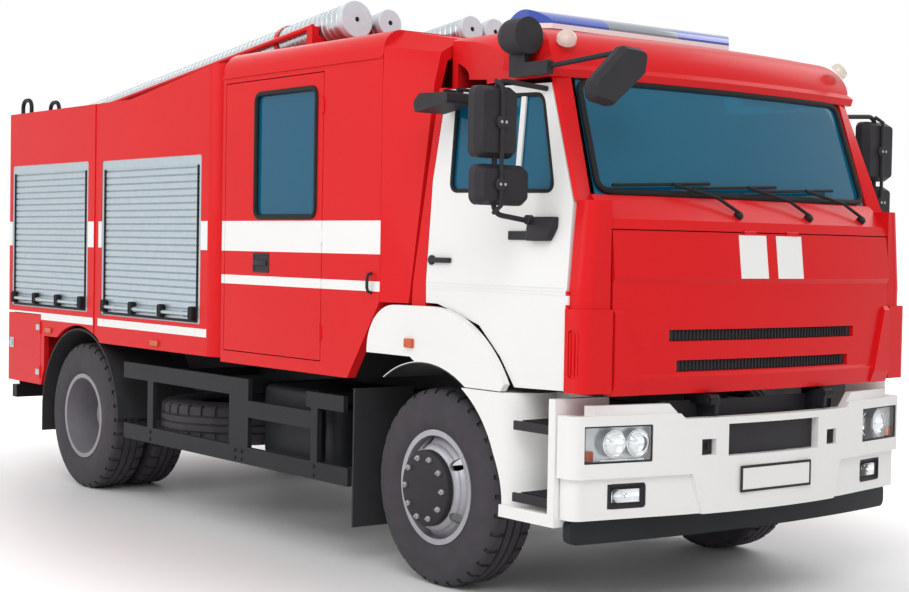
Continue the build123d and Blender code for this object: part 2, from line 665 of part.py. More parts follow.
with BuildPart() as frame_boxes:
    for name, side in SIDES:
        box_outline = [(side * y, z) for y in BOX_Y for z in (BOX_Z if y == BOX_Y[0] else BOX_Z[::-1])]
        prism_along(box_outline, (ahead(BOX_X[0]), ahead(BOX_X[1])), 45)
        for x in (BOX_X[0] + 120, BOX_X[1] - 120):
            bracket(x, side, BOX_Y[0] + 20, BRACKET_Z)
    tank = (ahead(AIR_TANK[0]), AIR_TANK[1])
    rod((*tank, AIR_TANK_Z[0]), (*tank, AIR_TANK_Z[1]), AIR_TANK_RADIUS)
    bracket(AIR_TANK[0], -1, -AIR_TANK[1], (AIR_TANK_Z[1] - 40, AIR_TANK_Z[1]))
    bracket(SPARE_X, -1, -SPARE_Y + 40, HANGER_Z)
    spare_seat = SPARE_TOP - half_tyre + 20
    rod((ahead(SPARE_X), SPARE_Y, spare_seat), (ahead(SPARE_X), SPARE_Y, HANGER_Z[1]), 24)
    with BuildSketch(spare_plane):
        Polygon(
            (BEAD_RADIUS - FACE_GAP, -half_bead), (BEAD_RADIUS - FACE_GAP, half_bead), (250, half_bead),
            (250, 20), (0, 20), (0, 0), (230, 0), (230, -half_bead), align=None,
        )
    revolve(axis=spare_axis)
save(frame_boxes, "frame_boxes")

# Side guards: flat rails on posts, carried by arms from the frame
GUARD_Y = (HALF_WIDTH - 45, HALF_WIDTH - 15)
GUARD_RAILS = (
    Area(-3485, -1835, 862, 970),
    Area(-1865, -1063, 735, 838),
    Area(-1150, -762, 860, 951),
    Area(-3476, -712, 444, 548),
)
GUARD_POSTS = (
    Area(-3130, -3050, 444, 970),
    Area(-2037, -1807, 444, 970),
    Area(-1100, -1030, 444, 951),
)
GUARD_ARM_Z = (880, 940)
with BuildPart() as side_guards:
    for name, side in SIDES:
        for rail in GUARD_RAILS + GUARD_POSTS:
            block((ahead(rail.rear), ahead(rail.front)), across(side, *GUARD_Y), (rail.low, rail.high))
        for post in GUARD_POSTS:
            bracket((post.rear + post.front) / 2, side, GUARD_Y[0] + 10, GUARD_ARM_Z)
save(side_guards, "side_guards")


def bumper_solid(inset, z, mode=Mode.ADD, half=BUMPER_HALF):
    """The bumper's plan out to its skin, drawn inward by an inset, between two heights."""
    edge = half - inset
    lamp = (ahead(BUMPER_LAMP_X) - inset, BUMPER_LAMP_Y)
    corner_x = ahead(BUMPER_CORNER_X) - inset
    turn = BUMPER_CORNER_RADIUS - inset
    rear = ahead(BUMPER_REAR)
    bend = (1 - sin(radians(45))) * turn
    plan = [
        (rear, -edge), (corner_x - turn, -edge),
        (corner_x - bend, bend - edge, corner_x, turn - edge), (lamp[0], -lamp[1]),
        (ahead(FRONT_OVERHANG) - inset, 0, *lamp), (corner_x, edge - turn),
        (corner_x - bend, edge - bend, corner_x - turn, edge), (rear, edge),
    ]
    prism_up(plan, z, mode=mode)


CREASE_Z = 712
CREASE_DEPTH = 24
MIDDLE_HALF = 560


def crease_cut():
    """What is taken off the bumper's face below its crease: the skin down to the depth of the crease."""
    with BuildPart() as cut:
        bumper_solid(-10, (BUMPER_BOTTOM - 1, CREASE_Z))
        bumper_solid(CREASE_DEPTH, (BUMPER_BOTTOM - 1, CREASE_Z), Mode.SUBTRACT)
        middle = [(-MIDDLE_HALF, CREASE_Z), (MIDDLE_HALF, CREASE_Z), (MIDDLE_HALF - 60, BUMPER_BOTTOM - 1),
                  (60 - MIDDLE_HALF, BUMPER_BOTTOM - 1)]
        prism_along(middle, (ahead(0), lamp_x[1]), mode=Mode.SUBTRACT)
    return cut.part


# Front bumper: bowed shell set back below its crease, ledge on top, openings for lamps and towing points
Opening = namedtuple("Opening", "inner outer low high depth")
HEADLAMP = Opening(796, 1180, 784, 964, 12)
FOG_LAMP = Opening(820, 1030, 560, 680, 34)
TOW_HOLE = Opening(420, 510, 800, 880, 0)
SLOT_HALF = 340
SLOT_Z = (790, 950)
lamp_x = (ahead(BUMPER_REAR) + 20, ahead(FRONT_OVERHANG) + 50)
with BuildPart() as front_bumper:
    bumper_solid(0, (BUMPER_BOTTOM, BUMPER_SHOULDER_Z))
    bumper_solid(LEDGE_INSET, (BUMPER_SHOULDER_Z, BUMPER_TOP), half=LEDGE_HALF)
    bumper_solid(BUMPER_WALL, (BUMPER_BOTTOM - 10, BUMPER_TOP + 10), Mode.SUBTRACT)
    for name, side in SIDES:
        for hole in (HEADLAMP, FOG_LAMP, TOW_HOLE):
            block(lamp_x, across(side, hole.inner, hole.outer), (hole.low, hole.high), Mode.SUBTRACT)
    block(lamp_x, (-SLOT_HALF, SLOT_HALF), SLOT_Z, Mode.SUBTRACT)
    notch = [(-NOTCH_HALF[1], BUMPER_TOP + 10), (-NOTCH_HALF[1], BUMPER_TOP),
             (-NOTCH_HALF[0], BUMPER_NOTCH_Z), (NOTCH_HALF[0], BUMPER_NOTCH_Z),
             (NOTCH_HALF[1], BUMPER_TOP), (NOTCH_HALF[1], BUMPER_TOP + 10)]
    prism_along(notch, lamp_x, mode=Mode.SUBTRACT)
    for name, side in SIDES:
        arm_x = (ahead(RAIL_FRONT), ahead(BUMPER_ARM_FRONT))
        block(arm_x, across(side, *BUMPER_ARM_Y), (RAIL_BOTTOM, RAIL_BOTTOM + 120))
crease = crease_cut()
with BuildPart() as shaped_bumper:
    add(front_bumper.part)
    add(crease, mode=Mode.SUBTRACT)
save(shaped_bumper, "front_bumper")


# Head and fog lamps, with lenses just inside the bumper's skin, and tail lamps on the rear bar
REAR_BAR_Z = (560, 660)
REAR_BAR_X = (-5510, -5430)
TAIL_LAMP_Y = (HALF_WIDTH - 490, HALF_WIDTH - 100)
TAIL_LAMP_Z = (REAR_BAR_Z[1], REAR_BAR_Z[1] + 120)


def lens(hole, side):
    """Lamp that fills one of the bumper's openings."""
    with BuildPart() as lamp:
        bumper_solid(hole.depth, (hole.low, hole.high))
        bumper_solid(BUMPER_WALL, (hole.low - 10, hole.high + 10), Mode.SUBTRACT)
        block(lamp_x, across(side, hole.inner, hole.outer), (hole.low, hole.high), Mode.INTERSECT)
    return lamp.part


lenses = [lens(hole, side) for name, side in SIDES for hole in (HEADLAMP, FOG_LAMP)]
with BuildPart() as lamps:
    add(lenses)
    for name, side in SIDES:
        block((ahead(REAR_BAR_X[0]) + 5, ahead(BODY_REAR)), across(side, *TAIL_LAMP_Y), TAIL_LAMP_Z)
save(lamps, "lamps")

# Underrun bars below the front bumper and behind the body, on posts under the rails
UNDERRUN_HALF = HALF_WIDTH - 60
UNDERRUN_DEPTH = 50
UNDERRUN_BOW = 100
UNDERRUN_Z = (386, 510)
UNDERRUN_END_RADIUS = 40
POST_Y = (RAIL_OUTER_Y - RAIL_FLANGE, RAIL_OUTER_Y)
with BuildPart() as underrun_bars:
    bar_ends = (ahead(1110), UNDERRUN_HALF)
    with BuildSketch(Plane.XY.offset(UNDERRUN_Z[0])) as bar_plan:
        with BuildLine():
            ThreePointArc((bar_ends[0], -bar_ends[1]), (bar_ends[0] + UNDERRUN_BOW, 0), bar_ends)
            Line(bar_ends, (bar_ends[0] - UNDERRUN_DEPTH, bar_ends[1]))
            bar_rear = bar_ends[0] - UNDERRUN_DEPTH
            ThreePointArc((bar_rear, bar_ends[1]), (bar_rear + UNDERRUN_BOW, 0), (bar_rear, -bar_ends[1]))
            Line((bar_rear, -bar_ends[1]), (bar_ends[0], -bar_ends[1]))
        make_face()
    extrude(bar_plan.sketch, amount=UNDERRUN_Z[1] - UNDERRUN_Z[0], dir=(0, 0, 1))
    fillet(underrun_bars.edges().filter_by(Axis.X), UNDERRUN_END_RADIUS)
    block((ahead(REAR_BAR_X[0]), ahead(REAR_BAR_X[1])), (-UNDERRUN_HALF, UNDERRUN_HALF), REAR_BAR_Z)
    for name, side in SIDES:
        foot = (ahead(RAIL_FRONT) - 80, ahead(1190))
        block(foot, across(side, *POST_Y), (UNDERRUN_Z[1] - 60, UNDERRUN_Z[1]))
        block((foot[0], ahead(RAIL_FRONT)), across(side, *POST_Y), (UNDERRUN_Z[1] - 60, RAIL_BOTTOM))
        block((ahead(RAIL_REAR), ahead(RAIL_REAR) + 70), across(side, *POST_Y), (REAR_BAR_Z[0], RAIL_BOTTOM))
        block((ahead(REAR_BAR_X[0]), ahead(RAIL_REAR) + 70), across(side, *POST_Y), REAR_BAR_Z)
save(underrun_bars, "underrun_bars")

# Cab steps: a scooped well each side behind the bumper, and its two treads
STEP_X = (330, 1056)
STEP_INNER_Y = 900
STEP_Z = (470, 1086)
STEP_ARCH = 645
STEP_ARM_X = 900
SCOOP_X = (700, 1010)
SCOOP_Z = (530, 1090)
SCOOP_INNER_Y = 960
SCOOP_FLARE = 110
TREAD_HEIGHT = 36
TREADS_Z = (560, 915)
with BuildPart() as cab_steps:
    for name, side in SIDES:
        block((ahead(STEP_X[0]), ahead(STEP_X[1])), across(side, STEP_INNER_Y, HALF_WIDTH), STEP_Z)
        scoop = (
            (SCOOP_X[0] - SCOOP_FLARE, HALF_WIDTH + 1),
            (SCOOP_X[0], HALF_WIDTH - 60, SCOOP_X[0] + 40, SCOOP_INNER_Y),
            (SCOOP_X[1], SCOOP_INNER_Y), (SCOOP_X[1], HALF_WIDTH + 1),
        )
        prism_up(beside(scoop, side), SCOOP_Z, mode=Mode.SUBTRACT)
        axle_line = [(FRONT_AXLE_X, side * y, TYRE_RADIUS) for y in (STEP_INNER_Y, HALF_WIDTH)]
        rod(*axle_line, STEP_ARCH, Mode.SUBTRACT)
        arm_x = (ahead(STEP_ARM_X) - 40, ahead(STEP_ARM_X) + 40)
        block(arm_x, across(side, RAIL_OUTER_Y, STEP_INNER_Y), (800, 900))
        for z in TREADS_Z:
            x = (ahead(SCOOP_X[0]) + 45, ahead(SCOOP_X[1]))
            block(x, across(side, SCOOP_INNER_Y, HALF_WIDTH - 30), (z, z + TREAD_HEIGHT))
save(cab_steps, "cab_steps")

# Half width of the floor's middle, between the rear wheels
SUBFRAME_HALF = 560

# Mudguards over the rear wheels with their flaps, and the flaps behind the front wheels
GUARD_RADIUS = 625
GUARD_WALL = 12
FLAP_X = -690
FLAP_Z = (215, 1000)
REAR_FLAP_Z = (360, 560)
with BuildPart() as mudguards:
    for name, side in SIDES:
        y = across(side, TWIN_INNER_Y - TYRE_WIDTH / 2, HALF_WIDTH - 12)
        rod((REAR_AXLE_X, y[0], TYRE_RADIUS), (REAR_AXLE_X, y[1], TYRE_RADIUS), GUARD_RADIUS + GUARD_WALL)
        inside = ((REAR_AXLE_X, y[0] - 1, TYRE_RADIUS), (REAR_AXLE_X, y[1] + 1, TYRE_RADIUS))
        rod(*inside, GUARD_RADIUS, Mode.SUBTRACT)
    ends = GUARD_RADIUS + 2 * GUARD_WALL
    low = (TYRE_RADIUS - ends, REAR_FLAP_Z[1])
    block((REAR_AXLE_X - ends, REAR_AXLE_X + ends), (-HALF_WIDTH, HALF_WIDTH), low, Mode.SUBTRACT)
    for name, side in SIDES:
        y = across(side, TWIN_INNER_Y - TYRE_WIDTH / 2, HALF_WIDTH - 12)
        flap = (REAR_AXLE_X - GUARD_RADIUS - GUARD_WALL, REAR_AXLE_X - GUARD_RADIUS)
        block(flap, y, (REAR_FLAP_Z[0], REAR_FLAP_Z[1] + 20))
        arm_y = across(side, SUBFRAME_HALF, TWIN_INNER_Y - TYRE_WIDTH / 2 + BRACKET_LENGTH)
        arm_z = (BODY_BOTTOM + 20, TYRE_RADIUS + GUARD_RADIUS + GUARD_WALL / 2)
        block((REAR_AXLE_X - BRACKET_LENGTH / 2, REAR_AXLE_X + BRACKET_LENGTH / 2), arm_y, arm_z)
    for name, side in SIDES:
        block((ahead(FLAP_X) - GUARD_WALL, ahead(FLAP_X)), across(side, 800, 1210), FLAP_Z)
        bracket(FLAP_X - GUARD_WALL - BRACKET_LENGTH / 2, side, 860, (900, 960))
save(mudguards, "mudguards")

# Body side panels: flat wall turning into the front corner, coaming on top, shutter openings
SHUTTERS = (Area(-3830, -2400, 1280, 2370), Area(-5400, -4050, 1290, 2376))
SEAM_X = (-3947, -3857)
SEAM_DEPTH = 6
LOCKER_HINGES_Z = (800, 1140)


def locker_hinges(side):
    """Centres of a locker door's hinges, in the gap at its front edge."""
    return [(ahead(LOCKER_FRONT) - PANEL_GAP / 2, side * HALF_WIDTH, z) for z in LOCKER_HINGES_Z]


with BuildPart() as body_side_panels:
    for name, side in SIDES:
        inner = HALF_WIDTH - BODY_WALL
        with BuildSketch(Plane.XY.offset(BODY_BOTTOM)) as wall_plan:
            with BuildLine():
                bend = BODY_CORNER_RADIUS
                front = ahead(BODY_FRONT)
                outer_run = Line((ahead(BODY_REAR), side * HALF_WIDTH), (front - bend, side * HALF_WIDTH))
                RadiusArc(outer_run @ 1, (front, side * (HALF_WIDTH - bend)), side * bend)
                Line((front, side * (HALF_WIDTH - bend)), (front - BODY_WALL, side * (HALF_WIDTH - bend)))
                RadiusArc(
                    (front - BODY_WALL, side * (HALF_WIDTH - bend)), (front - bend, side * inner),
                    -side * (bend - BODY_WALL),
                )
                Line((front - bend, side * inner), (ahead(BODY_REAR), side * inner))
                Line((ahead(BODY_REAR), side * inner), outer_run @ 0)
            make_face()
        extrude(wall_plan.sketch, amount=COAMING_TOP - BODY_BOTTOM, dir=(0, 0, 1))
        above = places(((BODY_REAR - 1, BODY_TOP), (COAMING_START, BODY_TOP), (BODY_FRONT, COAMING_TOP),
                        (BODY_FRONT, COAMING_TOP + 1), (BODY_REAR - 1, COAMING_TOP + 1)))
        prism_across(above, across(side, inner - bend, HALF_WIDTH + 1), mode=Mode.SUBTRACT)
        tail = places(((LOCKER_FRONT, LOCKER_BOTTOM), (LOCKER_FRONT + 60, LOCKER_BOTTOM),
                       (LOCKER_FRONT + 60, BODY_BOTTOM), (LOCKER_FRONT, BODY_BOTTOM)))
        prism_across(tail, across(side, inner, HALF_WIDTH))
        y = across(side, inner - 1, HALF_WIDTH + 1)
        for shutter in SHUTTERS:
            prism_across(frame_of(shutter), y, SHUTTER_CORNER, mode=Mode.SUBTRACT)
        door_hole = (ahead(BODY_REAR) - 1, ahead(LOCKER_FRONT))
        block(door_hole, y, (LOCKER_BOTTOM, LOCKER_TOP), Mode.SUBTRACT)
        seam_y = across(side, HALF_WIDTH - SEAM_DEPTH, HALF_WIDTH + 1)
        block((ahead(SEAM_X[0]), ahead(SEAM_X[1])), seam_y, (BODY_BOTTOM, BODY_TOP + 1), Mode.SUBTRACT)
        arch_line = ((REAR_AXLE_X, y[0], TYRE_RADIUS), (REAR_AXLE_X, y[1], TYRE_RADIUS))
        rod(*arch_line, ARCH_RADIUS, Mode.SUBTRACT)
        hinge_seat(locker_hinges(side), UPRIGHT)
save(body_side_panels, "body_side_panels")

# Roller shutters: ribbed slats with a lift bar at the bottom edge, two each side and one behind
REAR_SHUTTER_HALF = 850
REAR_SHUTTER_Z = (1290, 2376)
SLAT_PITCH = 46
GROOVE_HALF = 7
GROOVE_DEPTH = 9
CHANNEL_WIDTH = 28
CHANNEL_PROUD = 4
HEADER_HEIGHT = 60
LIFT_BAR_RADIUS = 12
LIFT_BAR_RISE = 62
LIFT_BAR_REACH = 24
LIFT_BRACKETS = 4


def slat_curtain(low, high):
    """Section of a closed curtain, outward distance from its back, with a groove between each two slats."""
    section = [(0, low), (SHUTTER_DEPTH, low)]
    for slat in range(1, int((high - low - HEADER_HEIGHT) / SLAT_PITCH) + 1):
        z = low + slat * SLAT_PITCH
        section += [(SHUTTER_DEPTH, z - GROOVE_HALF), (SHUTTER_DEPTH - GROOVE_DEPTH, z),
                    (SHUTTER_DEPTH, z + GROOVE_HALF)]
    return section + [(SHUTTER_DEPTH, high), (0, high)]


def shutter(length, low, high):
    """Closed shutter that faces +Y, centred along X, its back at y = 0."""
    with BuildPart() as closed:
        half = length / 2
        prism_along(slat_curtain(low, high), (-half, half))
        proud = SHUTTER_DEPTH + CHANNEL_PROUD
        for end in (-half, half - CHANNEL_WIDTH):
            block((end, end + CHANNEL_WIDTH), (0, proud), (low, high))
        block((-half, half), (0, proud), (high - HEADER_HEIGHT, high))
        bar_y = SHUTTER_DEPTH + LIFT_BAR_REACH
        bar_z = low + LIFT_BAR_RISE
        bar_end = half - 2 * CHANNEL_WIDTH
        rod((-bar_end, bar_y, bar_z), (bar_end, bar_y, bar_z), LIFT_BAR_RADIUS)
        for bracket_place in range(LIFT_BRACKETS):
            x = -bar_end + (bracket_place + 0.5) * 2 * bar_end / LIFT_BRACKETS
            block((x - 16, x + 16), (SHUTTER_DEPTH - GROOVE_DEPTH, bar_y), (bar_z - 16, bar_z + 16))
        corners = [(end, z) for end, rise in ((-half, (low, high)), (half, (high, low))) for z in rise]
        prism_across(corners, (-1, bar_y + LIFT_BAR_RADIUS), SHUTTER_CORNER, Mode.INTERSECT)
    return closed.part


with BuildPart() as roller_shutters:
    for area in SHUTTERS:
        closed = shutter(area.front - area.rear, area.low, area.high)
        middle = ahead((area.front + area.rear) / 2)
        back = HALF_WIDTH - SHUTTER_RECESS - SHUTTER_DEPTH
        add(closed.moved(Location((middle, back, 0))))
        add(closed.moved(Location((middle, -back, 0), (0, 0, 180))))
    closed = shutter(2 * REAR_SHUTTER_HALF, *REAR_SHUTTER_Z)
    rear_back = ahead(BODY_REAR) + SHUTTER_RECESS + SHUTTER_DEPTH
    add(closed.moved(Location((rear_back, 0, 0), (0, 0, 90))))
save(roller_shutters, "roller_shutters")

# Body end walls, floor and recessed roof deck
FLOOR_TOP = 1130
with BuildPart() as body_end_walls:
    front_half = HALF_WIDTH - BODY_CORNER_RADIUS
    front_x = (ahead(BODY_FRONT) - BODY_WALL, ahead(BODY_FRONT))
    block(front_x, (-front_half, front_half), (BODY_BOTTOM, COAMING_TOP))
    rear_half = HALF_WIDTH - BODY_WALL
    rear_x = (ahead(BODY_REAR), ahead(BODY_REAR) + BODY_WALL)
    block(rear_x, (-rear_half, rear_half), (LOCKER_TOP, BODY_TOP))
    block(rear_x, (-SUBFRAME_HALF, SUBFRAME_HALF), (BODY_BOTTOM, LOCKER_TOP))
    rear_shutter_y = (-REAR_SHUTTER_HALF, REAR_SHUTTER_HALF)
    rear_rises = (REAR_SHUTTER_Z, REAR_SHUTTER_Z[::-1])
    rear_opening = [(y, z) for y, rise in zip(rear_shutter_y, rear_rises) for z in rise]
    prism_along(rear_opening, (rear_x[0] - 1, rear_x[1] + 1), SHUTTER_CORNER, Mode.SUBTRACT)
save(body_end_walls, "body_end_walls")

with BuildPart() as body_floors:
    floor_half = HALF_WIDTH - BODY_WALL
    wheelhouse = REAR_AXLE_X + ARCH_RADIUS
    block((wheelhouse, ahead(BODY_FRONT) - BODY_WALL), (-front_half, front_half), (BODY_BOTTOM, FLOOR_TOP))
    floor_x = (ahead(BODY_REAR) + BODY_WALL, wheelhouse)
    block(floor_x, (-SUBFRAME_HALF, SUBFRAME_HALF), (BODY_BOTTOM, FLOOR_TOP))
    for name, side in SIDES:
        bearer_x = (ahead(BODY_REAR) + BODY_WALL, ahead(BODY_FRONT) - BODY_WALL)
        block(bearer_x, across(side, *POST_Y), (RAIL_TOP, BODY_BOTTOM))
    deck_x = (ahead(BODY_REAR) + BODY_WALL, ahead(BODY_FRONT) - BODY_CORNER_RADIUS)
    deck_z = (DECK_TOP - DECK_THICKNESS, DECK_TOP)
    block(deck_x, (-rear_half, rear_half), deck_z)
    block((deck_x[1], ahead(BODY_FRONT) - BODY_WALL), (-front_half, front_half), deck_z)
save(body_floors, "body_floors")

# Lockers behind the rear wheels: open boxes, closed by a door in the body's side
LOCKER_WALL = 20
with BuildPart() as rear_lockers:
    for name, side in SIDES:
        x = (ahead(BODY_REAR), ahead(LOCKER_FRONT) + 20)
        y = across(side, HALF_WIDTH - BODY_WALL - LOCKER_DEPTH, HALF_WIDTH - BODY_WALL - PANEL_GAP)
        z = (LOCKER_BOTTOM, LOCKER_TOP - FACE_GAP)
        block(x, y, z)
        room_y = across(side, HALF_WIDTH - BODY_WALL - LOCKER_DEPTH + LOCKER_WALL, HALF_WIDTH)
        room_x = (x[0] + LOCKER_WALL, x[1] - LOCKER_WALL)
        block(room_x, room_y, (z[0] + LOCKER_WALL, z[1] - LOCKER_WALL), Mode.SUBTRACT)
save(rear_lockers, "rear_lockers")

for name, side in SIDES:
    with BuildPart() as locker_door:
        x = (ahead(BODY_REAR), ahead(LOCKER_FRONT) - PANEL_GAP)
        y = across(side, HALF_WIDTH - BODY_WALL, HALF_WIDTH)
        block(x, y, (LOCKER_BOTTOM, LOCKER_TOP - PANEL_GAP))
        hinge_leaf(locker_hinges(side), UPRIGHT)
    save(locker_door, f"locker_door_{name}")

# Rear ladder with its handrail hoops over the roof edge
LADDER_Y = (120 - HALF_WIDTH, 350 - HALF_WIDTH)
LADDER_TUBE = 16
RUNG_RADIUS = 12
LADDER_X = BODY_REAR - 42
LADDER_Z = (820, 2900)
LADDER_HOOP = 160
LADDER_BEND = 60
RUNG_COUNT = 6
STANDOFFS_Z = (1262, 2560)
with BuildPart() as rear_ladder:
    for y in LADDER_Y:
        x = ahead(LADDER_X)
        hoop_x = x + LADDER_HOOP
        bent_tube([(x, y, LADDER_Z[0]), (x, y, LADDER_Z[1]), (hoop_x, y, LADDER_Z[1]), (hoop_x, y, DECK_TOP)],
                  LADDER_TUBE, LADDER_BEND)
        for z in STANDOFFS_Z:
            rod((x, y, z), (ahead(BODY_REAR), y, z), RUNG_RADIUS)
    for rung in range(RUNG_COUNT):
        z = LADDER_Z[0] + 80 + rung * (BODY_TOP - LADDER_Z[0] - 160) / (RUNG_COUNT - 1)
        rod((x, LADDER_Y[0], z), (x, LADDER_Y[1], z), RUNG_RADIUS)
save(rear_ladder, "rear_ladder")

# Crew cabin: side panels with the door opening, floor with the sloped foot, end walls and roof
CREW_DOOR = Area(-2088, -992, 1140, 2792)
CREW_WINDOW = Area(-1730, -1060, 1966, 2710)
CREW_FLOOR_WALL = 50
CREW_HINGES_Z = (1300, 1860, 2600)
crew_inner = HALF_WIDTH - CREW_WALL


def crew_hinges(side):
    """Centres of a crew door's hinges, in the gap at its front edge."""
    return [(ahead(CREW_DOOR.front) + PANEL_GAP / 2, side * HALF_WIDTH, z) for z in CREW_HINGES_Z]


with BuildPart() as crew_side_panels:
    crew_outline = places(((CREW_REAR, CREW_BOTTOM), (CREW_FOOT_REAR, CREW_BOTTOM), (CREW_FRONT, CREW_FOOT_Z),
                           (CREW_FRONT, CREW_LIP), (CREW_REAR, CREW_LIP)))
    for name, side in SIDES:
        prism_across(crew_outline, across(side, crew_inner, HALF_WIDTH))
        through = across(side, crew_inner - 1, HALF_WIDTH + 1)
        prism_across(frame_of(CREW_DOOR, PANEL_GAP), through, mode=Mode.SUBTRACT)
        hinge_seat(crew_hinges(side), UPRIGHT)
save(crew_side_panels, "crew_side_panels")

with BuildPart() as crew_shell:
    floor_z = CREW_BOTTOM + CREW_FLOOR_WALL
    floor_section = places(((CREW_REAR, CREW_BOTTOM), (CREW_FOOT_REAR, CREW_BOTTOM),
                            (CREW_FRONT, CREW_FOOT_Z), (CREW_FRONT - CREW_WALL, CREW_FOOT_Z),
                            (CREW_FOOT_REAR - 30, floor_z), (CREW_REAR, floor_z)))
    prism_across(floor_section, (-crew_inner, crew_inner))
    for name, side in SIDES:
        bearer_x = (ahead(CREW_REAR), ahead(CREW_FOOT_REAR) - 60)
        block(bearer_x, across(side, *POST_Y), (RAIL_TOP, CREW_BOTTOM))
    wall_y = (-crew_inner, crew_inner)
    block((ahead(CREW_FRONT) - CREW_WALL, ahead(CREW_FRONT)), wall_y, (CREW_FOOT_Z, CREW_LIP))
    block((ahead(CREW_REAR), ahead(CREW_REAR) + CREW_WALL), wall_y, (floor_z, CREW_LIP))
save(crew_shell, "crew_shell")


def roof_arch(half, shoulder_z, top_half, top_z, base_z):
    """Front-view roof outline: walls up to a shoulder, then an arc to a flat top."""
    bulge = (top_half + 0.7 * (half - top_half), shoulder_z + 0.66 * (top_z - shoulder_z))
    return [(half, base_z), (half - 5, shoulder_z), (*bulge, top_half, top_z), (-top_half, top_z),
            (-bulge[0], bulge[1], 5 - half, shoulder_z), (-half, base_z)]


with BuildPart() as crew_roof:
    outer_arch = roof_arch(HALF_WIDTH, CREW_SHOULDER_Z, CREW_ROOF_HALF, CREW_ROOF_TOP, CREW_LIP)
    prism_along(outer_arch, (ahead(CREW_REAR), ahead(CREW_FRONT)))
    wall = CREW_ROOF_WALL
    inner_arch = roof_arch(HALF_WIDTH - wall, CREW_SHOULDER_Z - wall / 2, CREW_ROOF_HALF - wall / 2,
                           CREW_ROOF_TOP - wall, CREW_LIP - 1)
    for name, side in SIDES:
        gutter = across(side, HALF_WIDTH - 10, HALF_WIDTH + DRIP_RAIL)
        gutter_z = (CREW_LIP + PANEL_GAP, CREW_LIP + PANEL_GAP + 14)
        block((ahead(CREW_REAR), ahead(CREW_FRONT)), gutter, gutter_z)
    prism_along(inner_arch, (ahead(CREW_REAR) + wall, ahead(CREW_FRONT) - wall), mode=Mode.SUBTRACT)
save(crew_roof, "crew_roof")

# Crew bench across the cabin's rear
BENCH_X = (-2078, -1560)
BENCH_HALF = HALF_WIDTH - CREW_WALL - 65
BENCH_TOP = 1560
BENCH_BACK = 110
BENCH_BACK_TOP = 2150
with BuildPart() as crew_bench:
    bench_section = places(((BENCH_X[0], floor_z), (BENCH_X[1], floor_z), (BENCH_X[1], BENCH_TOP),
                            (BENCH_X[0] + BENCH_BACK, BENCH_TOP),
                            (BENCH_X[0] + BENCH_BACK / 2, BENCH_BACK_TOP), (BENCH_X[0], BENCH_BACK_TOP)))
    prism_across(bench_section, (-BENCH_HALF, BENCH_HALF))
save(crew_bench, "crew_bench")

# Crew doors with their windows
for name, side in SIDES:
    door_y = across(side, crew_inner + PANEL_GAP, HALF_WIDTH)
    with BuildPart() as crew_door:
        prism_across(frame_of(CREW_DOOR), door_y)
        through = across(side, crew_inner, HALF_WIDTH + 1)
        prism_across(frame_of(CREW_WINDOW), through, WINDOW_RADIUS, mode=Mode.SUBTRACT)
        hinge_leaf(crew_hinges(side), UPRIGHT)
    save(crew_door, f"crew_door_{name}")

    with BuildPart() as crew_glass:
        glass_y = across(side, HALF_WIDTH - GLASS_INSET - GLASS, HALF_WIDTH - GLASS_INSET)
        prism_across(frame_of(CREW_WINDOW), glass_y, WINDOW_RADIUS)
    save(crew_glass, f"crew_glass_{name}")

# Fairing that closes the space between the crew cabin and the cab
FAIRING_WALL = 45
SEAL_GAP = 25
FAIRING_REAR_SECTION = (
    (HALF_WIDTH - 2, CREW_FOOT_Z), (HALF_WIDTH - 2, 2700), (HALF_WIDTH - 7, CREW_SHOULDER_Z - 2),
    (CREW_ROOF_HALF, CREW_ROOF_TOP - 5),
)
FAIRING_FRONT_SECTION = (
    (CAB_HALF_WIDTH + 3, CREW_FOOT_Z), (CAB_HALF_WIDTH - 75, 2690), (CAB_HALF_WIDTH - 105, 2850),
    (CAB_HALF_WIDTH - 240, 2930),
)


def fairing_form(inset):
    """Solid between the crew cabin's front outline and the cab's rear outline, drawn inward."""
    with BuildPart() as form:
        lean = atan2(CAB_REAR_LEAN, 1)
        front_normal = (cos(lean), 0, -sin(lean))
        front_x = ahead(CAB_REAR) - SEAL_GAP
        bend = CAB_REAR_BEND_Z
        rear_plane = Plane(origin=(ahead(CREW_FRONT), 0, bend), x_dir=(0, 1, 0), z_dir=(1, 0, 0))
        front_plane = Plane(origin=(front_x, 0, bend), x_dir=(0, 1, 0), z_dir=front_normal)
        planes = ((rear_plane, FAIRING_REAR_SECTION), (front_plane, FAIRING_FRONT_SECTION))
        for plane, section in planes:
            points = [(y - inset, z - inset - bend) for y, z in section]
            with BuildSketch(plane):
                Polygon(*points, *[(-y, z) for y, z in reversed(points)], align=None)
        loft(ruled=True)
    return form.part


fairing_outer = fairing_form(0)
fairing_inner = fairing_form(FAIRING_WALL)
with BuildPart() as cab_fairing:
    add(fairing_outer)
    add(fairing_inner, mode=Mode.SUBTRACT)
save(cab_fairing, "cab_fairing")

# Roof tubes for the suction hoses, on cradles that fall toward the rear
Tube = namedtuple("Tube", "y front front_z radius")
TUBES = (
    Tube(-700, -1470, 3193, 112),
    Tube(-470, -1440, 3190, 82),
    Tube(70, -1300, 3190, 82),
    Tube(260, -1300, 3190, 82),
)
CRADLES = (-1750, -2900, -4600)
CRADLE_LENGTH = 60
CRADLE_Y = (-840, 370)
CRADLE_DEPTH = 60
CRADLE_SEAT = 25
RACK_RISE = 60
TUBE_CAP = 45
TUBE_CAP_RIM = 4
# Hole in the cap: share of the tube's radius, and depth
TUBE_CAP_HOLE = (0.12, 90)
RACK_RAIL_RADIUS = 18
TUBE_AXIS_X = -1470
TUBE_AXIS_Z = 3190


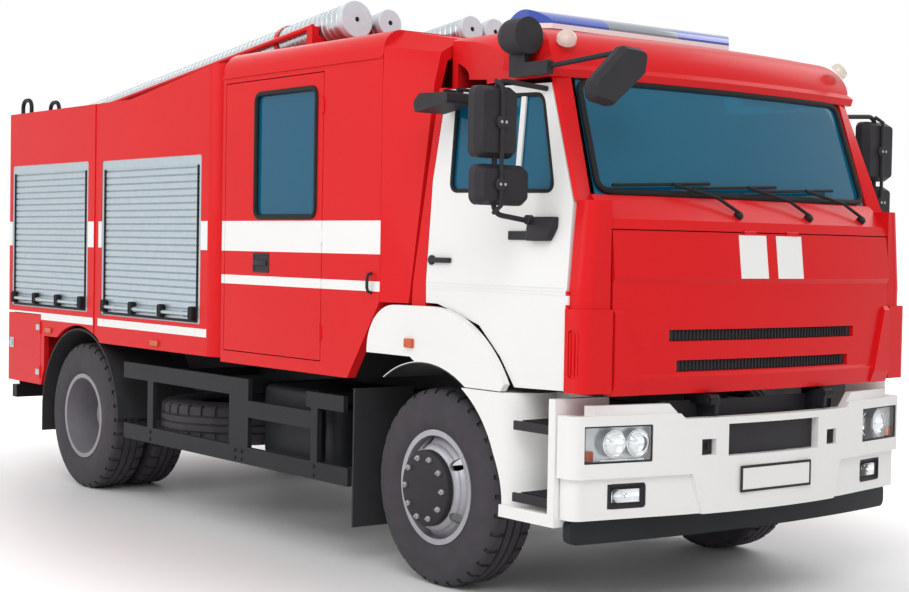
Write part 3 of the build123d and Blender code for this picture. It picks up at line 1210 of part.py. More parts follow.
def tube_z(x, front=TUBE_AXIS_X, front_z=TUBE_AXIS_Z):
    """Height of a tube's axis at a distance ahead of the front axle."""
    return front_z - (front - x) * TUBE_SLOPE


def tube_ends(tube):
    """Centre points of a tube's two ends."""
    rear = (ahead(TUBE_REAR), tube.y, tube_z(TUBE_REAR, tube.front, tube.front_z))
    return (ahead(tube.front), tube.y, tube.front_z), rear


with BuildPart() as hose_tubes:
    for tube in TUBES:
        front_end, rear_end = [Vector(*end) for end in tube_ends(tube)]
        outward = (front_end - rear_end).normalized()
        rod(front_end, rear_end, tube.radius)
        rod(front_end - outward * TUBE_CAP, front_end, tube.radius + TUBE_CAP_RIM)
        rod(front_end - outward * TUBE_CAP_HOLE[1], front_end, tube.radius * TUBE_CAP_HOLE[0], Mode.SUBTRACT)
save(hose_tubes, "hose_tubes")

with BuildPart() as tube_cradles:
    for x in CRADLES:
        limits = (ahead(x) - CRADLE_LENGTH / 2, ahead(x) + CRADLE_LENGTH / 2)
        foot_z = CREW_ROOF_TOP if x > CREW_REAR else DECK_TOP
        seat_z = tube_z(x) - TUBES[1].radius + CRADLE_SEAT
        block(limits, CRADLE_Y, (max(foot_z, seat_z - CRADLE_DEPTH), seat_z))
        for y in CRADLE_Y:
            post_y = (y - 25, y + 25)
            block(limits, post_y, (foot_z, seat_z + RACK_RISE))
    for y in CRADLE_Y:
        rise = CRADLE_SEAT + RACK_RISE - TUBES[1].radius
        rail_ends = [(ahead(x), y, tube_z(x) + rise) for x in (CRADLES[0], CRADLES[-1])]
        rod(*rail_ends, RACK_RAIL_RADIUS)
    for tube in TUBES:
        rod(*tube_ends(tube), tube.radius, Mode.SUBTRACT)
save(tube_cradles, "tube_cradles")

# Front fenders: skin round the wheel arch, liner behind it and a bracket from the rail
FENDER_SKIN = 40
FENDER_ARCH = 660
LINER_WALL = 12
LINER_INNER_Y = 860
LINER_LOW = 1092
with BuildPart() as front_fenders:
    fender_outline = places(((-523, 1218), (-455, 1408, -270, 1488), (50, 1491), (391, 1398, 666, 1128),
                             (640, LINER_LOW), (0, LINER_LOW), (0, 1150), (-120, 1218)))
    for name, side in SIDES:
        y = across(side, LINER_INNER_Y, HALF_WIDTH)
        line = ((FRONT_AXLE_X, y[0], TYRE_RADIUS), (FRONT_AXLE_X, y[1], TYRE_RADIUS))
        rod(*line, FENDER_ARCH + LINER_WALL)
        reach = FENDER_ARCH + 2 * LINER_WALL
        low = (TYRE_RADIUS - reach, LINER_LOW)
        block((FRONT_AXLE_X - reach, FRONT_AXLE_X + reach), y, low, Mode.SUBTRACT)
        prism_across(fender_outline, across(side, HALF_WIDTH - FENDER_SKIN, HALF_WIDTH))
        rod(*line, FENDER_ARCH, Mode.SUBTRACT)
        arm_x = (FRONT_AXLE_X - 40, FRONT_AXLE_X + 40)
        arm_inner = RAIL_OUTER_Y - 50
        block(arm_x, across(side, arm_inner, LINER_INNER_Y + 20), (LINER_LOW + 50, TYRE_RADIUS + FENDER_ARCH))
        block(arm_x, across(side, arm_inner, RAIL_OUTER_Y), (RAIL_TOP, LINER_LOW + 60))
save(front_fenders, "front_fenders")

def cab_side_y(z):
    """Half width of the cab's side at a height: upright, then leaning in."""
    return CAB_HALF_WIDTH - max(0, z - LEAN_START) * LEAN


def cab_rear_x(z):
    """Distance ahead of the front axle of the cab's back at a height."""
    return CAB_REAR + max(0, z - CAB_REAR_BEND_Z) * CAB_REAR_LEAN


SKIN_HEIGHTS = (CAB_FLOOR_BOTTOM - 150, LEAN_START, ROOF_BOTTOM)


def cab_skin(side, edge, inset=0, thickness=CAB_WALL, radius=0):
    """Panel of the cab's side within a side-view edge, following its lean."""
    with BuildPart() as skin:
        outer = [(side * (cab_side_y(z) - inset), z) for z in SKIN_HEIGHTS]
        inner = [(side * (cab_side_y(z) - inset - thickness), z) for z in reversed(SKIN_HEIGHTS)]
        prism_along(outer + inner, (ahead(CAB_REAR), ahead(FRONT_X)))
        prism_across(places(edge), across(side, 0, HALF_WIDTH), radius, mode=Mode.INTERSECT)
    return skin.part


# Cab shell: back wall with the rear pillars, floor with the engine tunnel, sills inside the fenders
SILL_OUTLINE = ((-56, CAB_FLOOR_BOTTOM), (-56, 1492), (45, 1476), (385, 1381), (548, 1236),
                (585, CAB_FLOOR_BOTTOM))
rear_top = cab_rear_x(ROOF_BOTTOM)
PILLAR_OUTLINE = ((CAB_REAR, CAB_FLOOR_BOTTOM), (CAB_REAR, CAB_REAR_BEND_Z), (rear_top, ROOF_BOTTOM),
                  (-23, ROOF_BOTTOM), (-75, 2157), (-56, 1508), (-56, CAB_FLOOR_BOTTOM))
pillars = [cab_skin(side, PILLAR_OUTLINE) for name, side in SIDES]
with BuildPart() as cab_shell:
    wall_outline = places(((CAB_REAR, CAB_FLOOR_BOTTOM), (CAB_REAR, CAB_REAR_BEND_Z), (rear_top, ROOF_BOTTOM),
                           (rear_top + CAB_WALL, ROOF_BOTTOM), (CAB_REAR + CAB_WALL, CAB_REAR_BEND_Z),
                           (CAB_REAR + CAB_WALL, CAB_FLOOR_BOTTOM)))
    prism_across(wall_outline, (-CAB_HALF_WIDTH, CAB_HALF_WIDTH))
    half_section = [(cab_side_y(z), z) for z in SKIN_HEIGHTS]
    full_section = half_section + [(-y, z) for y, z in reversed(half_section)]
    prism_along(full_section, (ahead(CAB_REAR) - 10, ahead(FRONT_X)), mode=Mode.INTERSECT)
    notch_x = (ahead(CAB_REAR) - 1, ahead(CAB_REAR) + CAB_WALL + 1)
    tunnel_room = TUNNEL_HALF - TUNNEL_WALL
    notch_z = (CAB_FLOOR_BOTTOM - 1, TUNNEL_TOP - TUNNEL_WALL)
    block(notch_x, (-tunnel_room, tunnel_room), notch_z, Mode.SUBTRACT)
    add(pillars)
    floor_x = (ahead(CAB_REAR) + CAB_WALL, ahead(CORNER_X))
    block(floor_x, (-CAB_FLOOR_HALF, CAB_FLOOR_HALF), (CAB_FLOOR_BOTTOM, CAB_FLOOR_TOP))
    bowed(((CORNER_X - 20, CAB_FLOOR_BOTTOM), (FIREWALL_X[0], CAB_FLOOR_BOTTOM),
           (FIREWALL_X[0], CAB_FLOOR_TOP), (CORNER_X - 20, CAB_FLOOR_TOP)), LID_HALF)
    block((floor_x[0], ahead(TUNNEL_FRONT)), (-TUNNEL_HALF, TUNNEL_HALF), (CAB_FLOOR_TOP, TUNNEL_TOP))
    room_x = (floor_x[0] - 1, ahead(TUNNEL_FRONT) - TUNNEL_WALL)
    room_z = (CAB_FLOOR_BOTTOM - 1, TUNNEL_TOP - TUNNEL_WALL)
    block(room_x, (-tunnel_room, tunnel_room), room_z, Mode.SUBTRACT)
    for name, side in SIDES:
        prism_across(places(SILL_OUTLINE), across(side, CAB_FLOOR_HALF, CAB_HALF_WIDTH - 5))
save(cab_shell, "cab_shell")

# Cab front: firewall behind the lid, cowl, corner fairings, windscreen pillars and tilt lugs
COWL_BOTTOM = LID_TOP + PANEL_GAP
CORNER_TOP = 2040
FAIRING_TOP = 1520
LUG_Y = (RAIL_OUTER_Y + PIVOT_PLATE + 2, RAIL_OUTER_Y + PIVOT_PLATE + PIVOT_PIN_LENGTH)
POST_INNER_Y = LID_HALF + 8
BULGE_PLAN = ((CORNER_X, POST_INNER_Y), (CORNER_X, 1222), (1150, 1222), (1198, 1206, 1218, 1160),
              (1230, POST_INNER_Y))
BULGE_POCKET = ((1106, 1190), (1106, 1420), (1176, 1420), (1176, 1190))
POCKET_Y = 1212


def corner_plan(side_y):
    """Plan of a cab corner whose side lies at a given y."""
    return ((CORNER_X, POST_INNER_Y), (CORNER_X, side_y), (1130, side_y),
            (1186, side_y - 24, 1202, side_y - 80), (1208, POST_INNER_Y))


CAB_HINGES_Z = (1250, 1560)
LID_HINGE_Z = LID_TOP + PANEL_GAP / 2
LID_HINGE_X = 1276
LID_HINGES = [(ahead(LID_HINGE_X), y, LID_HINGE_Z) for y in (-160, 160)]


def cab_hinges(side):
    """Centres of a cab door's hinges, in the gap at its front edge."""
    return [(ahead(DOOR_HINGE_X), side * CAB_HALF_WIDTH, z) for z in CAB_HINGES_Z]


with BuildPart() as cab_front:
    bowed(((FIREWALL_X[0], FIREWALL_BOTTOM), (FIREWALL_X[1], FIREWALL_BOTTOM), (FIREWALL_X[1], COWL_BOTTOM),
           (FIREWALL_X[0], COWL_BOTTOM)), LID_HALF + 40)
    bowed(((FIREWALL_X[0], COWL_BOTTOM - 1), (1278, COWL_BOTTOM), (1266, 1955), (1145, SCREEN_BOTTOM),
           (1090, SCREEN_BOTTOM), (1090, 1990), (FIREWALL_X[0] - 40, COWL_BOTTOM - 1)), LID_HALF + 40)
    for name, side in SIDES:
        for low, high in ((FIREWALL_BOTTOM, LEAN_START), (LEAN_START, CORNER_TOP)):
            for z in (low, high):
                with BuildSketch(Plane.XY.offset(z)):
                    add(outline(beside(corner_plan(cab_side_y(z) - 5), side), Plane.XY.offset(z)))
            loft(ruled=True)
        prism_up(beside(BULGE_PLAN, side), (FIREWALL_BOTTOM, FAIRING_TOP))
        prism_across(places(BULGE_POCKET), across(side, POCKET_Y, HALF_WIDTH), 18, Mode.SUBTRACT)
        foot = [(1066, 1112), (1066, 1163), (1086, 1148), (1064, 1050), (1010, 1050)]
        head = [(820, 1060), (820, 1109), (842, 1098), (866, 1021), (790, 1021)]
        for z, section in ((CORNER_TOP, foot), (ROOF_BOTTOM, head)):
            with BuildSketch(Plane.XY.offset(z)):
                Polygon(*[(ahead(x), side * y) for x, y in section], align=None)
        loft(ruled=True)
        lug_y = across(side, *LUG_Y)
        block((ahead(1140), ahead(FIREWALL_X[1] - 12)), lug_y, (PIVOT_Z - 20, FIREWALL_BOTTOM + 30))
        block((ahead(1140), ahead(PIVOT_X)), lug_y, (PIVOT_Z - 20, PIVOT_Z + PIVOT_EYE_RADIUS))
        eye = [(ahead(PIVOT_X), y, PIVOT_Z) for y in lug_y]
        rod(*eye, PIVOT_EYE_RADIUS)
        rod(*eye, PIVOT_PIN_RADIUS + PIN_PLAY, Mode.SUBTRACT)
        hinge_seat(cab_hinges(side), UPRIGHT)
    hinge_seat(LID_HINGES, CROSSWISE)
save(cab_front, "cab_front")

# Windscreen
with BuildPart() as windscreen:
    bowed(((SCREEN_BOTTOM_X, SCREEN_BOTTOM), (SCREEN_TOP_X, ROOF_BOTTOM), (SCREEN_TOP_X - GLASS, ROOF_BOTTOM),
           (SCREEN_BOTTOM_X - GLASS, SCREEN_BOTTOM)), SCREEN_HALF)
save(windscreen, "windscreen")


# Cab roof: a domed cap, hollow below
def cab_roof_form(inset):
    """The cap's outer form drawn inward: side profile bowed in plan, cut to the front outline."""
    with BuildPart() as form:
        base = ROOF_BOTTOM - inset
        crown = ROOF_CROWN - inset
        bowed(((-600, base), (945 - inset, base), (958 - inset, 2688 - inset / 3),
               (940 - inset, 2712 - inset / 3), (880 - inset, 2826 - inset / 2, 720 - inset, 2895 - inset),
               (460, crown - 14, 180, crown), (-600, crown)), HALF_WIDTH)
        lip = ROOF_LIP_HALF - inset
        shoulder = [(lip, base), (lip, 2692 - inset / 3), (1116 - inset, 2708 - inset / 3)]
        arch = [
            *shoulder, (1085 - inset, 2858 - inset, 930 - inset, 2928 - inset),
            (0, crown, inset - 930, 2928 - inset),
            (inset - 1085, 2858 - inset, inset - 1116, 2708 - inset / 3),
            *[(-y, z) for y, z in reversed(shoulder[:2])],
        ]
        rear_x = ahead(rear_top) + inset
        prism_along(arch, (rear_x, ahead(FRONT_X)), mode=Mode.INTERSECT)
    return form.part


roof_outer = cab_roof_form(0)
roof_inner = cab_roof_form(ROOF_WALL)
with BuildPart() as cab_roof:
    add(roof_outer)
    add(roof_inner, mode=Mode.SUBTRACT)
save(cab_roof, "cab_roof")

# Front lid with its two grille slots, hinged along its top edge
LID_PROFILE = ((1278, LID_TOP), (1305, 1672), (1290, 1646), (1293, 1430), (1293, 1206), (1305, 1190),
               (1283, LID_BOTTOM))
SLOT_DEPTH = 38
GRILLE_SLOTS = ((700, 1363, 1420), (650, 1213, 1270))
WING_OUTLINE = ((LID_HALF, LID_BOTTOM), (LID_HALF, FAIRING_TOP), (LID_HALF - 50, FAIRING_TOP), (880, 1150),
                (880, LID_BOTTOM))
WING_X = (1290, 1316)


def lid_wings():
    """Raised lower corners of the lid, level with the corner fairings."""
    with BuildPart() as wings:
        for name, side in SIDES:
            prism_along([(side * y, z) for y, z in WING_OUTLINE], (ahead(CORNER_X), ahead(FRONT_X) + 50))
        bowed(((WING_X[0], LID_BOTTOM), (WING_X[1] - 22, LID_BOTTOM), (WING_X[1], LID_BOTTOM + 60),
               (WING_X[1], FAIRING_TOP - 20), (WING_X[1] - 20, FAIRING_TOP), (WING_X[0], FAIRING_TOP)),
              LID_HALF, Mode.INTERSECT)
    return wings.part


wings = lid_wings()
with BuildPart() as front_lid:
    bowed(LID_PROFILE + tuple((x - LID_WALL, z) for x, z in reversed(LID_PROFILE)), LID_HALF)
    add(wings)
    for half, low, high in GRILLE_SLOTS:
        deep = FRONT_X - SLOT_DEPTH
        bowed(((deep, low), (FRONT_X + 10, low), (FRONT_X + 10, high), (deep, high)), half, Mode.SUBTRACT)
    hinge_leaf(LID_HINGES, CROSSWISE)
save(front_lid, "front_lid")

# Cab doors, their glass and the mirrors on them
DOOR_OUTLINE = ((-50, 1508), (-69, 2157), (-17, 2638), (826, 2620), (1058, 2032), (DOOR_HINGE_X - 6, 1536),
                (1063, 1125), (690, 1115), (575, 1260), (402, 1410), (52, 1506))
DOOR_WINDOW = ((93, 2098), (912, 2085), (774, 2568), (82, 2590))
DOOR_RIBS = (1584, 1600, 1616)
RIB_HEIGHT = 6
RIB_PROUD = 3
RIB_X = (-40, 1045)
DIVIDER = ((608, 2060), (644, 2060), (644, 2600), (608, 2600))
DIVIDER_DEPTH = 10
MIRROR_X = 795
MIRROR_DEPTH = 90
MIRROR_ARM_Y = 1440
MIRROR_ARM_Z = (2612, 1968)
MIRROR_ROOTS_Z = (2590, 1930)
MIRROR_TUBE = 13
MIRROR_BEND = 60
MirrorHead = namedtuple("MirrorHead", "inner outer low high")
MIRROR_HEADS = (MirrorHead(1318, 1570, 2235, 2580), MirrorHead(1240, 1560, 2010, 2206))
# Kerb mirror over the right-hand door's window: side view, then its two short arms
KERB_MIRROR = ((20, 2500), (300, 2540), (290, 2592), (60, 2600), (10, 2560))
KERB_MIRROR_Y = (1165, 1350)
KERB_MIRROR_RADIUS = 16
KERB_ARMS_X = (120, 230)
KERB_ARM_Y = 1230
KERB_ARM = 9
KERB_ROOT_Z = 2615
for name, side in SIDES:
    skin = cab_skin(side, DOOR_OUTLINE)
    divider = cab_skin(side, DIVIDER, 0, DIVIDER_DEPTH)
    with BuildPart() as cab_door:
        add(skin)
        prism_across(places(DOOR_WINDOW), across(side, 0, HALF_WIDTH), WINDOW_RADIUS, mode=Mode.SUBTRACT)
        add(divider)
        for z in DOOR_RIBS:
            rib_y = across(side, CAB_HALF_WIDTH - RIB_PROUD, CAB_HALF_WIDTH + RIB_PROUD)
            block((ahead(RIB_X[0]), ahead(RIB_X[1])), rib_y, (z, z + RIB_HEIGHT))
        hinge_leaf(cab_hinges(side), UPRIGHT)
    save(cab_door, f"cab_door_{name}")

    pane = cab_skin(side, DOOR_WINDOW, GLASS_INSET, GLASS, WINDOW_RADIUS)
    with BuildPart() as cab_glass:
        add(pane)
    save(cab_glass, f"cab_glass_{name}")

    with BuildPart() as mirror:
        roots = [(MIRROR_X, cab_side_y(z) - CAB_WALL / 2, z) for z in MIRROR_ROOTS_Z]
        arm = [roots[0], *[(MIRROR_X, MIRROR_ARM_Y, z) for z in MIRROR_ARM_Z], roots[1]]
        bent_tube([(ahead(x), side * y, z) for x, y, z in arm], MIRROR_TUBE, MIRROR_BEND)
        add(skin, mode=Mode.SUBTRACT)
        for head in MIRROR_HEADS:
            head_x = (ahead(MIRROR_X) - MIRROR_DEPTH / 2, ahead(MIRROR_X) + MIRROR_DEPTH / 2)
            low_y, high_y = across(side, head.inner, head.outer)
            corners = [(low_y, head.low), (high_y, head.low), (high_y, head.high), (low_y, head.high)]
            rounded_head(head_x, corners)
        if name == "right":
            prism_across(places(KERB_MIRROR), across(side, *KERB_MIRROR_Y), KERB_MIRROR_RADIUS)
            for x in KERB_ARMS_X:
                root = (ahead(x), side * (cab_side_y(KERB_ROOT_Z) - FACE_GAP), KERB_ROOT_Z)
                elbow = (ahead(x), side * KERB_ARM_Y, KERB_ROOT_Z)
                rod(root, elbow, KERB_ARM)
                drop_z = (KERB_ROOT_Z + KERB_ARM, KERB_MIRROR[2][1] - 30)
                rod((*elbow[:2], drop_z[0]), (*elbow[:2], drop_z[1]), KERB_ARM)
            add(skin, mode=Mode.SUBTRACT)
    save(mirror, f"mirror_{name}")

# Dashboard with the steering wheel, and the seats
DASH_PROFILE = ((1090, 1560), (1090, 2040), (1010, 2050), (880, 1960), (860, 1700), (930, 1560))
DASH_HALF = 1000
STEERING_Y = 620
STEERING_RADIUS = 230
STEERING_RIM = 34
COLUMN_RADIUS = 30
with BuildPart() as dashboard:
    bowed(DASH_PROFILE, DASH_HALF)
    column = ((ahead(905), STEERING_Y, 1640), (ahead(690), STEERING_Y, 1990))
    rod(*column, COLUMN_RADIUS)
    with BuildSketch(Plane(origin=column[1], z_dir=Vector(*column[1]) - Vector(*column[0]))):
        Circle(STEERING_RADIUS)
        Circle(STEERING_RADIUS - STEERING_RIM, mode=Mode.SUBTRACT)
        Rectangle(2 * STEERING_RADIUS - STEERING_RIM, 2 * COLUMN_RADIUS)
    extrude(amount=-STEERING_RIM)
save(dashboard, "dashboard")

SEAT_Y = {"left": (450, 850), "right": (450, 1050)}
with BuildPart() as cab_seats:
    seat = ((210, CAB_FLOOR_TOP), (540, CAB_FLOOR_TOP), (540, 1545), (640, 1560), (705, 1640, 640, 1700),
            (230, 1680), (150, 1900, 105, 2130), (100, 2300), (65, 2345, 20, 2330), (-10, 2130),
            (20, 1900, 90, 1600), (210, 1545))
    for name, side in SIDES:
        prism_across(places(seat), across(side, *SEAT_Y[name]))
save(cab_seats, "cab_seats")

# Light bar, searchlight and front mirror on the cab
BAR_X = 200
BAR_HALF = 770
BAR_Z = (ROOF_CROWN + 8, ROOF_CROWN + 110)
BAR_FOOT = (560, 640)
BAR_BASE = 40
BAR_DEPTH = 260
BAR_SWEEP = 90
roof_seat = cab_roof_form(-FACE_GAP)
with BuildPart() as light_bar:
    rear_x, front_x = ahead(BAR_X) - BAR_DEPTH / 2, ahead(BAR_X) + BAR_DEPTH / 2
    bar_base = BAR_Z[0] + BAR_BASE
    bar_section = [(rear_x, BAR_Z[0]), (front_x, BAR_Z[0]), (front_x, bar_base),
                   (ahead(BAR_X), BAR_Z[1], rear_x, bar_base)]
    prism_across(bar_section, (-BAR_HALF, BAR_HALF))
    bar_plan = [(rear_x, -BAR_HALF), (front_x - BAR_SWEEP, -BAR_HALF), (front_x, BAR_SWEEP - BAR_HALF),
                (front_x, BAR_HALF - BAR_SWEEP), (front_x - BAR_SWEEP, BAR_HALF), (rear_x, BAR_HALF)]
    prism_up(bar_plan, (BAR_Z[0] - 1, BAR_Z[1] + 1), 0, Mode.INTERSECT)
    for name, side in SIDES:
        foot_x = (rear_x + BAR_DEPTH / 3, front_x - BAR_DEPTH / 3)
        block(foot_x, across(side, *BAR_FOOT), (ROOF_CROWN - ROOF_WALL / 2, bar_base))
    add(roof_seat, mode=Mode.SUBTRACT)
save(light_bar, "light_bar")

LAMP_CENTRE = (650, -1200, 2850)
LAMP_RADIUS = 90
LAMP_LENGTH = 105
BRACKET_Y = (-1190, -ROOF_LIP_HALF)
FRONT_MIRROR_X = (1200, 1270)
# Front mirror leans: corners in front view
FRONT_MIRROR = ((-1230, 2505), (-1090, 2480), (-890, 2640), (-870, 2765), (-1030, 2775), (-1235, 2585))
FRONT_MIRROR_ARM = (-1048, 2740)
with BuildPart() as roof_fittings:
    centre = (ahead(LAMP_CENTRE[0]), *LAMP_CENTRE[1:])
    with Locations(centre):
        Sphere(LAMP_RADIUS)
    rod(centre, (centre[0] + LAMP_LENGTH, centre[1], centre[2]), LAMP_RADIUS)
    block((centre[0] - 60, ahead(880)), BRACKET_Y, (ROOF_BOTTOM + 5, ROOF_BOTTOM + 70))
    block((centre[0] - 60, centre[0] + 60), BRACKET_Y, (ROOF_BOTTOM + 5, centre[2]))
    elbow = (ahead(FRONT_MIRROR_X[0]) + 20, *FRONT_MIRROR_ARM)
    rod((ahead(840), sum(BRACKET_Y) / 2, ROOF_BOTTOM + 40), elbow, MIRROR_TUBE)
    rounded_head((ahead(FRONT_MIRROR_X[0]), ahead(FRONT_MIRROR_X[1])), FRONT_MIRROR)
save(roof_fittings, "roof_fittings")
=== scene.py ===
from math import atan2, cos, floor, pi, radians, sin, sqrt

import bpy
from mathutils import Matrix, Vector


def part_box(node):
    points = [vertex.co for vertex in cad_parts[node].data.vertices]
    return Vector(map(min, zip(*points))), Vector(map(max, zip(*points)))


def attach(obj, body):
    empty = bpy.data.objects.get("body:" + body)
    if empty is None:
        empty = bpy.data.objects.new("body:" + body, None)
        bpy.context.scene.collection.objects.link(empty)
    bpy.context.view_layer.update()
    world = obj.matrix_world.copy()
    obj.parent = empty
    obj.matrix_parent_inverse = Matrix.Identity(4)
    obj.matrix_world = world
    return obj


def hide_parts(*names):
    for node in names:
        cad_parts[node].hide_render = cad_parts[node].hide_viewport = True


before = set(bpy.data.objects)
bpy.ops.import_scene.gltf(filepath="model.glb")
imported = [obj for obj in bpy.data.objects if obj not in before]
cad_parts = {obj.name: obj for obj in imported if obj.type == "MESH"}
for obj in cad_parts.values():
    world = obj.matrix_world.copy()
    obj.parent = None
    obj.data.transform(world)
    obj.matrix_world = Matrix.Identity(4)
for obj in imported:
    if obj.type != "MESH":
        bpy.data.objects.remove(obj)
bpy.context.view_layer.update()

# Sides of the truck: +Y is its left. Pieces on both sides are made on the left and mirrored
SIDES = ("left", "right")


def middle(node):
    """Middle of a CAD node's box."""
    low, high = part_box(node)
    return (Vector(low) + Vector(high)) / 2


def extent(node):
    """Length, width and height of a CAD node's box."""
    low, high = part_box(node)
    return Vector(high) - Vector(low)


# Places taken from the frame
FRONT_AXLE_X = middle("front_tyre_left").x
REAR_AXLE_X = middle("rear_tyres_left").x
TYRE_RADIUS = extent("front_tyre_left").z / 2
TYRE_WIDTH = extent("front_tyre_left").y
BODY_SIDE_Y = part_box("crew_door_left")[1][1] - 0.011
CAB_SIDE_Y = 1.200


def ahead(distance):
    """x of a place given by its distance ahead of the front axle."""
    return FRONT_AXLE_X + distance


# Plan curve of the cab's front: one arc round a centre on the truck's middle line
BOW_RADIUS = 7.150
BOW_CENTRE_X = ahead(1.305) - BOW_RADIUS


def on_bow(x, y):
    """x at a distance y from the middle line of a form that is x ahead of the axle on that line."""
    return BOW_CENTRE_X + sqrt((ahead(x) - BOW_CENTRE_X) ** 2 - y ** 2)


# Lean of the cab's sides
LEAN_START_Z = 1.620
LEAN = 0.0874


def cab_side(z):
    """Distance of the cab's side from the middle line at a height."""
    return CAB_SIDE_Y - max(0, z - LEAN_START_Z) * LEAN


# Tools that every piece is made with


def begin():
    """Leaves nothing selected, so that an operator acts on the new piece alone."""
    bpy.ops.object.select_all(action="DESELECT")


def choose(piece):
    """Makes a piece the only one selected."""
    begin()
    piece.select_set(True)
    bpy.context.view_layer.objects.active = piece


def mode(name):
    """Goes into edit mode or back to object mode."""
    bpy.ops.object.mode_set(mode=name)


def draw_out(step):
    """Extrudes what is selected by a step."""
    bpy.ops.mesh.extrude_region_move(TRANSFORM_OT_translate={"value": Vector(step)})


def settle(piece):
    """Puts a piece's place, turn and size into its mesh."""
    choose(piece)
    bpy.ops.object.transform_apply(location=True, rotation=True, scale=True)
    return piece


def start_box(low, high):
    """Cube between two corners."""
    begin()
    centre = [(a + b) / 2 for a, b in zip(low, high)]
    size = [b - a for a, b in zip(low, high)]
    bpy.ops.mesh.primitive_cube_add(size=1, location=centre, scale=size)
    return settle(bpy.context.object)


def start_line(points):
    """Chain of edges through the points, drawn by extruding one vertex. Stays in edit mode."""
    begin()
    bpy.ops.mesh.primitive_plane_add(size=0.01, location=points[0])
    settle(bpy.context.object)
    mode("EDIT")
    bpy.ops.mesh.select_mode(type="VERT")
    bpy.ops.mesh.select_all(action="SELECT")
    bpy.ops.mesh.merge(type="CENTER")
    for last, point in zip(points, points[1:]):
        draw_out(Vector(point) - Vector(last))
    bpy.ops.mesh.select_all(action="SELECT")


def close_up():
    """Merges what meets, turns the faces outward and leaves edit mode."""
    bpy.ops.mesh.select_all(action="SELECT")
    bpy.ops.mesh.remove_doubles(threshold=0.00005)
    bpy.ops.mesh.normals_make_consistent(inside=False)
    mode("OBJECT")
    return bpy.context.object


def lathe(profile, centre, axis, steps):
    """Profile of (radius, distance along the axis) points turned about an axis through a centre."""
    centre = Vector(centre)
    axis = Vector(axis).normalized()
    outward = axis.orthogonal().normalized()
    start_line([centre + axis * along + outward * radius for radius, along in profile])
    bpy.ops.mesh.spin(steps=steps, angle=2 * pi, center=centre, axis=axis)
    return close_up()


def plate(outline, depth):
    """Closed outline of points, filled and drawn out along a vector."""
    start_line(outline)
    bpy.ops.mesh.edge_face_add()
    draw_out(depth)
    return close_up()


def bead(points, radius, closed=False):
    """Round bar that follows the points."""
    start_line(points)
    if closed:
        bpy.ops.mesh.edge_face_add()
        bpy.ops.mesh.delete(type="ONLY_FACE")
    mode("OBJECT")
    bpy.ops.object.convert(target="CURVE")
    run = bpy.context.object.data
    run.bevel_depth = radius
    run.bevel_resolution = 2
    run.use_fill_caps = True
    bpy.ops.object.convert(target="MESH")
    mode("EDIT")
    return close_up()


# Edges that turn by more than this are rounded, and stay sharp in the shading
SHARP_ANGLE = radians(35)


def ease(piece, width, segments=2):
    """Rounds a piece's sharp edges."""
    choose(piece)
    bpy.ops.object.modifier_add(type="BEVEL")
    bevel = piece.modifiers[-1]
    bevel.width = width
    bevel.segments = segments
    bevel.limit_method = "ANGLE"
    bevel.angle_limit = SHARP_ANGLE
    bpy.ops.object.modifier_apply(modifier=bevel.name)
    return piece


def eased_box(low, high, width, segments=2):
    """Box with rounded edges."""
    return ease(start_box(low, high), width, segments)


def block(x, y, z, width, segments=2):
    """Box with rounded edges between limits of x ahead of the axle, of y and of z."""
    return eased_box((ahead(x[0]), y[0], z[0]), (ahead(x[1]), y[1], z[1]), width, segments)


def bowed_strip(lower_edge, height, depth):
    """Strip that stands on a bowed edge, thickened forward, or backward where the depth is below zero."""
    start_line(lower_edge)
    draw_out((0, 0, height))
    bpy.ops.mesh.select_all(action="SELECT")
    draw_out((depth, 0, 0))
    return close_up()


def facing(direction):
    """Test that picks the faces that look in a direction."""
    return lambda face: face.normal.dot(Vector(direction)) > 0.9


FORWARD = facing((1, 0, 0))
OUTWARD = facing((0, 1, 0))


def pick(piece, kind, items, wanted):
    """Goes into edit mode with only the wanted faces or edges selected."""
    choose(piece)
    mode("EDIT")
    bpy.ops.mesh.select_mode(type=kind)
    bpy.ops.mesh.select_all(action="DESELECT")
    mode("OBJECT")
    for item in items:
        item.select = wanted(item)
    mode("EDIT")


def press_in(piece, wanted, border, depth):
    """Insets the wanted faces by a border and pushes them in, or out where the depth is above zero."""
    pick(piece, "FACE", piece.data.polygons, wanted)
    bpy.ops.mesh.inset(thickness=border, depth=depth)
    mode("OBJECT")
    return piece


def copy_of(piece, offset):
    """Copy of a piece with its own mesh, moved by an offset."""
    choose(piece)
    bpy.ops.object.duplicate()
    bpy.ops.transform.translate(value=offset)
    return settle(bpy.context.object)


def turned_copy(piece, turn):
    """Copy of a piece with its own mesh, put in place by a rotation and shift about the origin."""
    choose(piece)
    bpy.ops.object.duplicate()
    twin = bpy.context.object
    twin.matrix_world = turn
    return settle(twin)


def mirrored(piece):
    """Copy of a piece for the truck's other side."""
    turned_copy(piece, Matrix.Diagonal((1, -1, 1, 1)))
    mode("EDIT")
    return close_up()


def joined(parts):
    """Several pieces made one."""
    begin()
    for part in parts:
        part.select_set(True)
    bpy.context.view_layer.objects.active = parts[0]
    bpy.ops.object.join()
    return bpy.context.object


def paint(piece, material):
    """Gives a piece its one material."""
    piece.data.materials.clear()
    piece.data.materials.append(material)
    return piece


def done(piece, name, body, finish=None):
    """Names and smooths a piece, paints it if a finish is given, and ties it to its body."""
    if finish:
        paint(piece, finish)
    piece.name = name
    piece.data.name = name
    choose(piece)
    bpy.ops.object.shade_smooth_by_angle(angle=SHARP_ANGLE)
    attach(piece, body)
    return piece


def both_sides(piece, name, body, finish=None):
    """Finishes a piece of the left side and its mirror image. The side takes the place of {} in a body."""
    for side, half in zip(SIDES, (piece, mirrored(piece))):
        done(half, f"{name}_{side}", body.format(side), finish)


CORNER_STEPS = 5


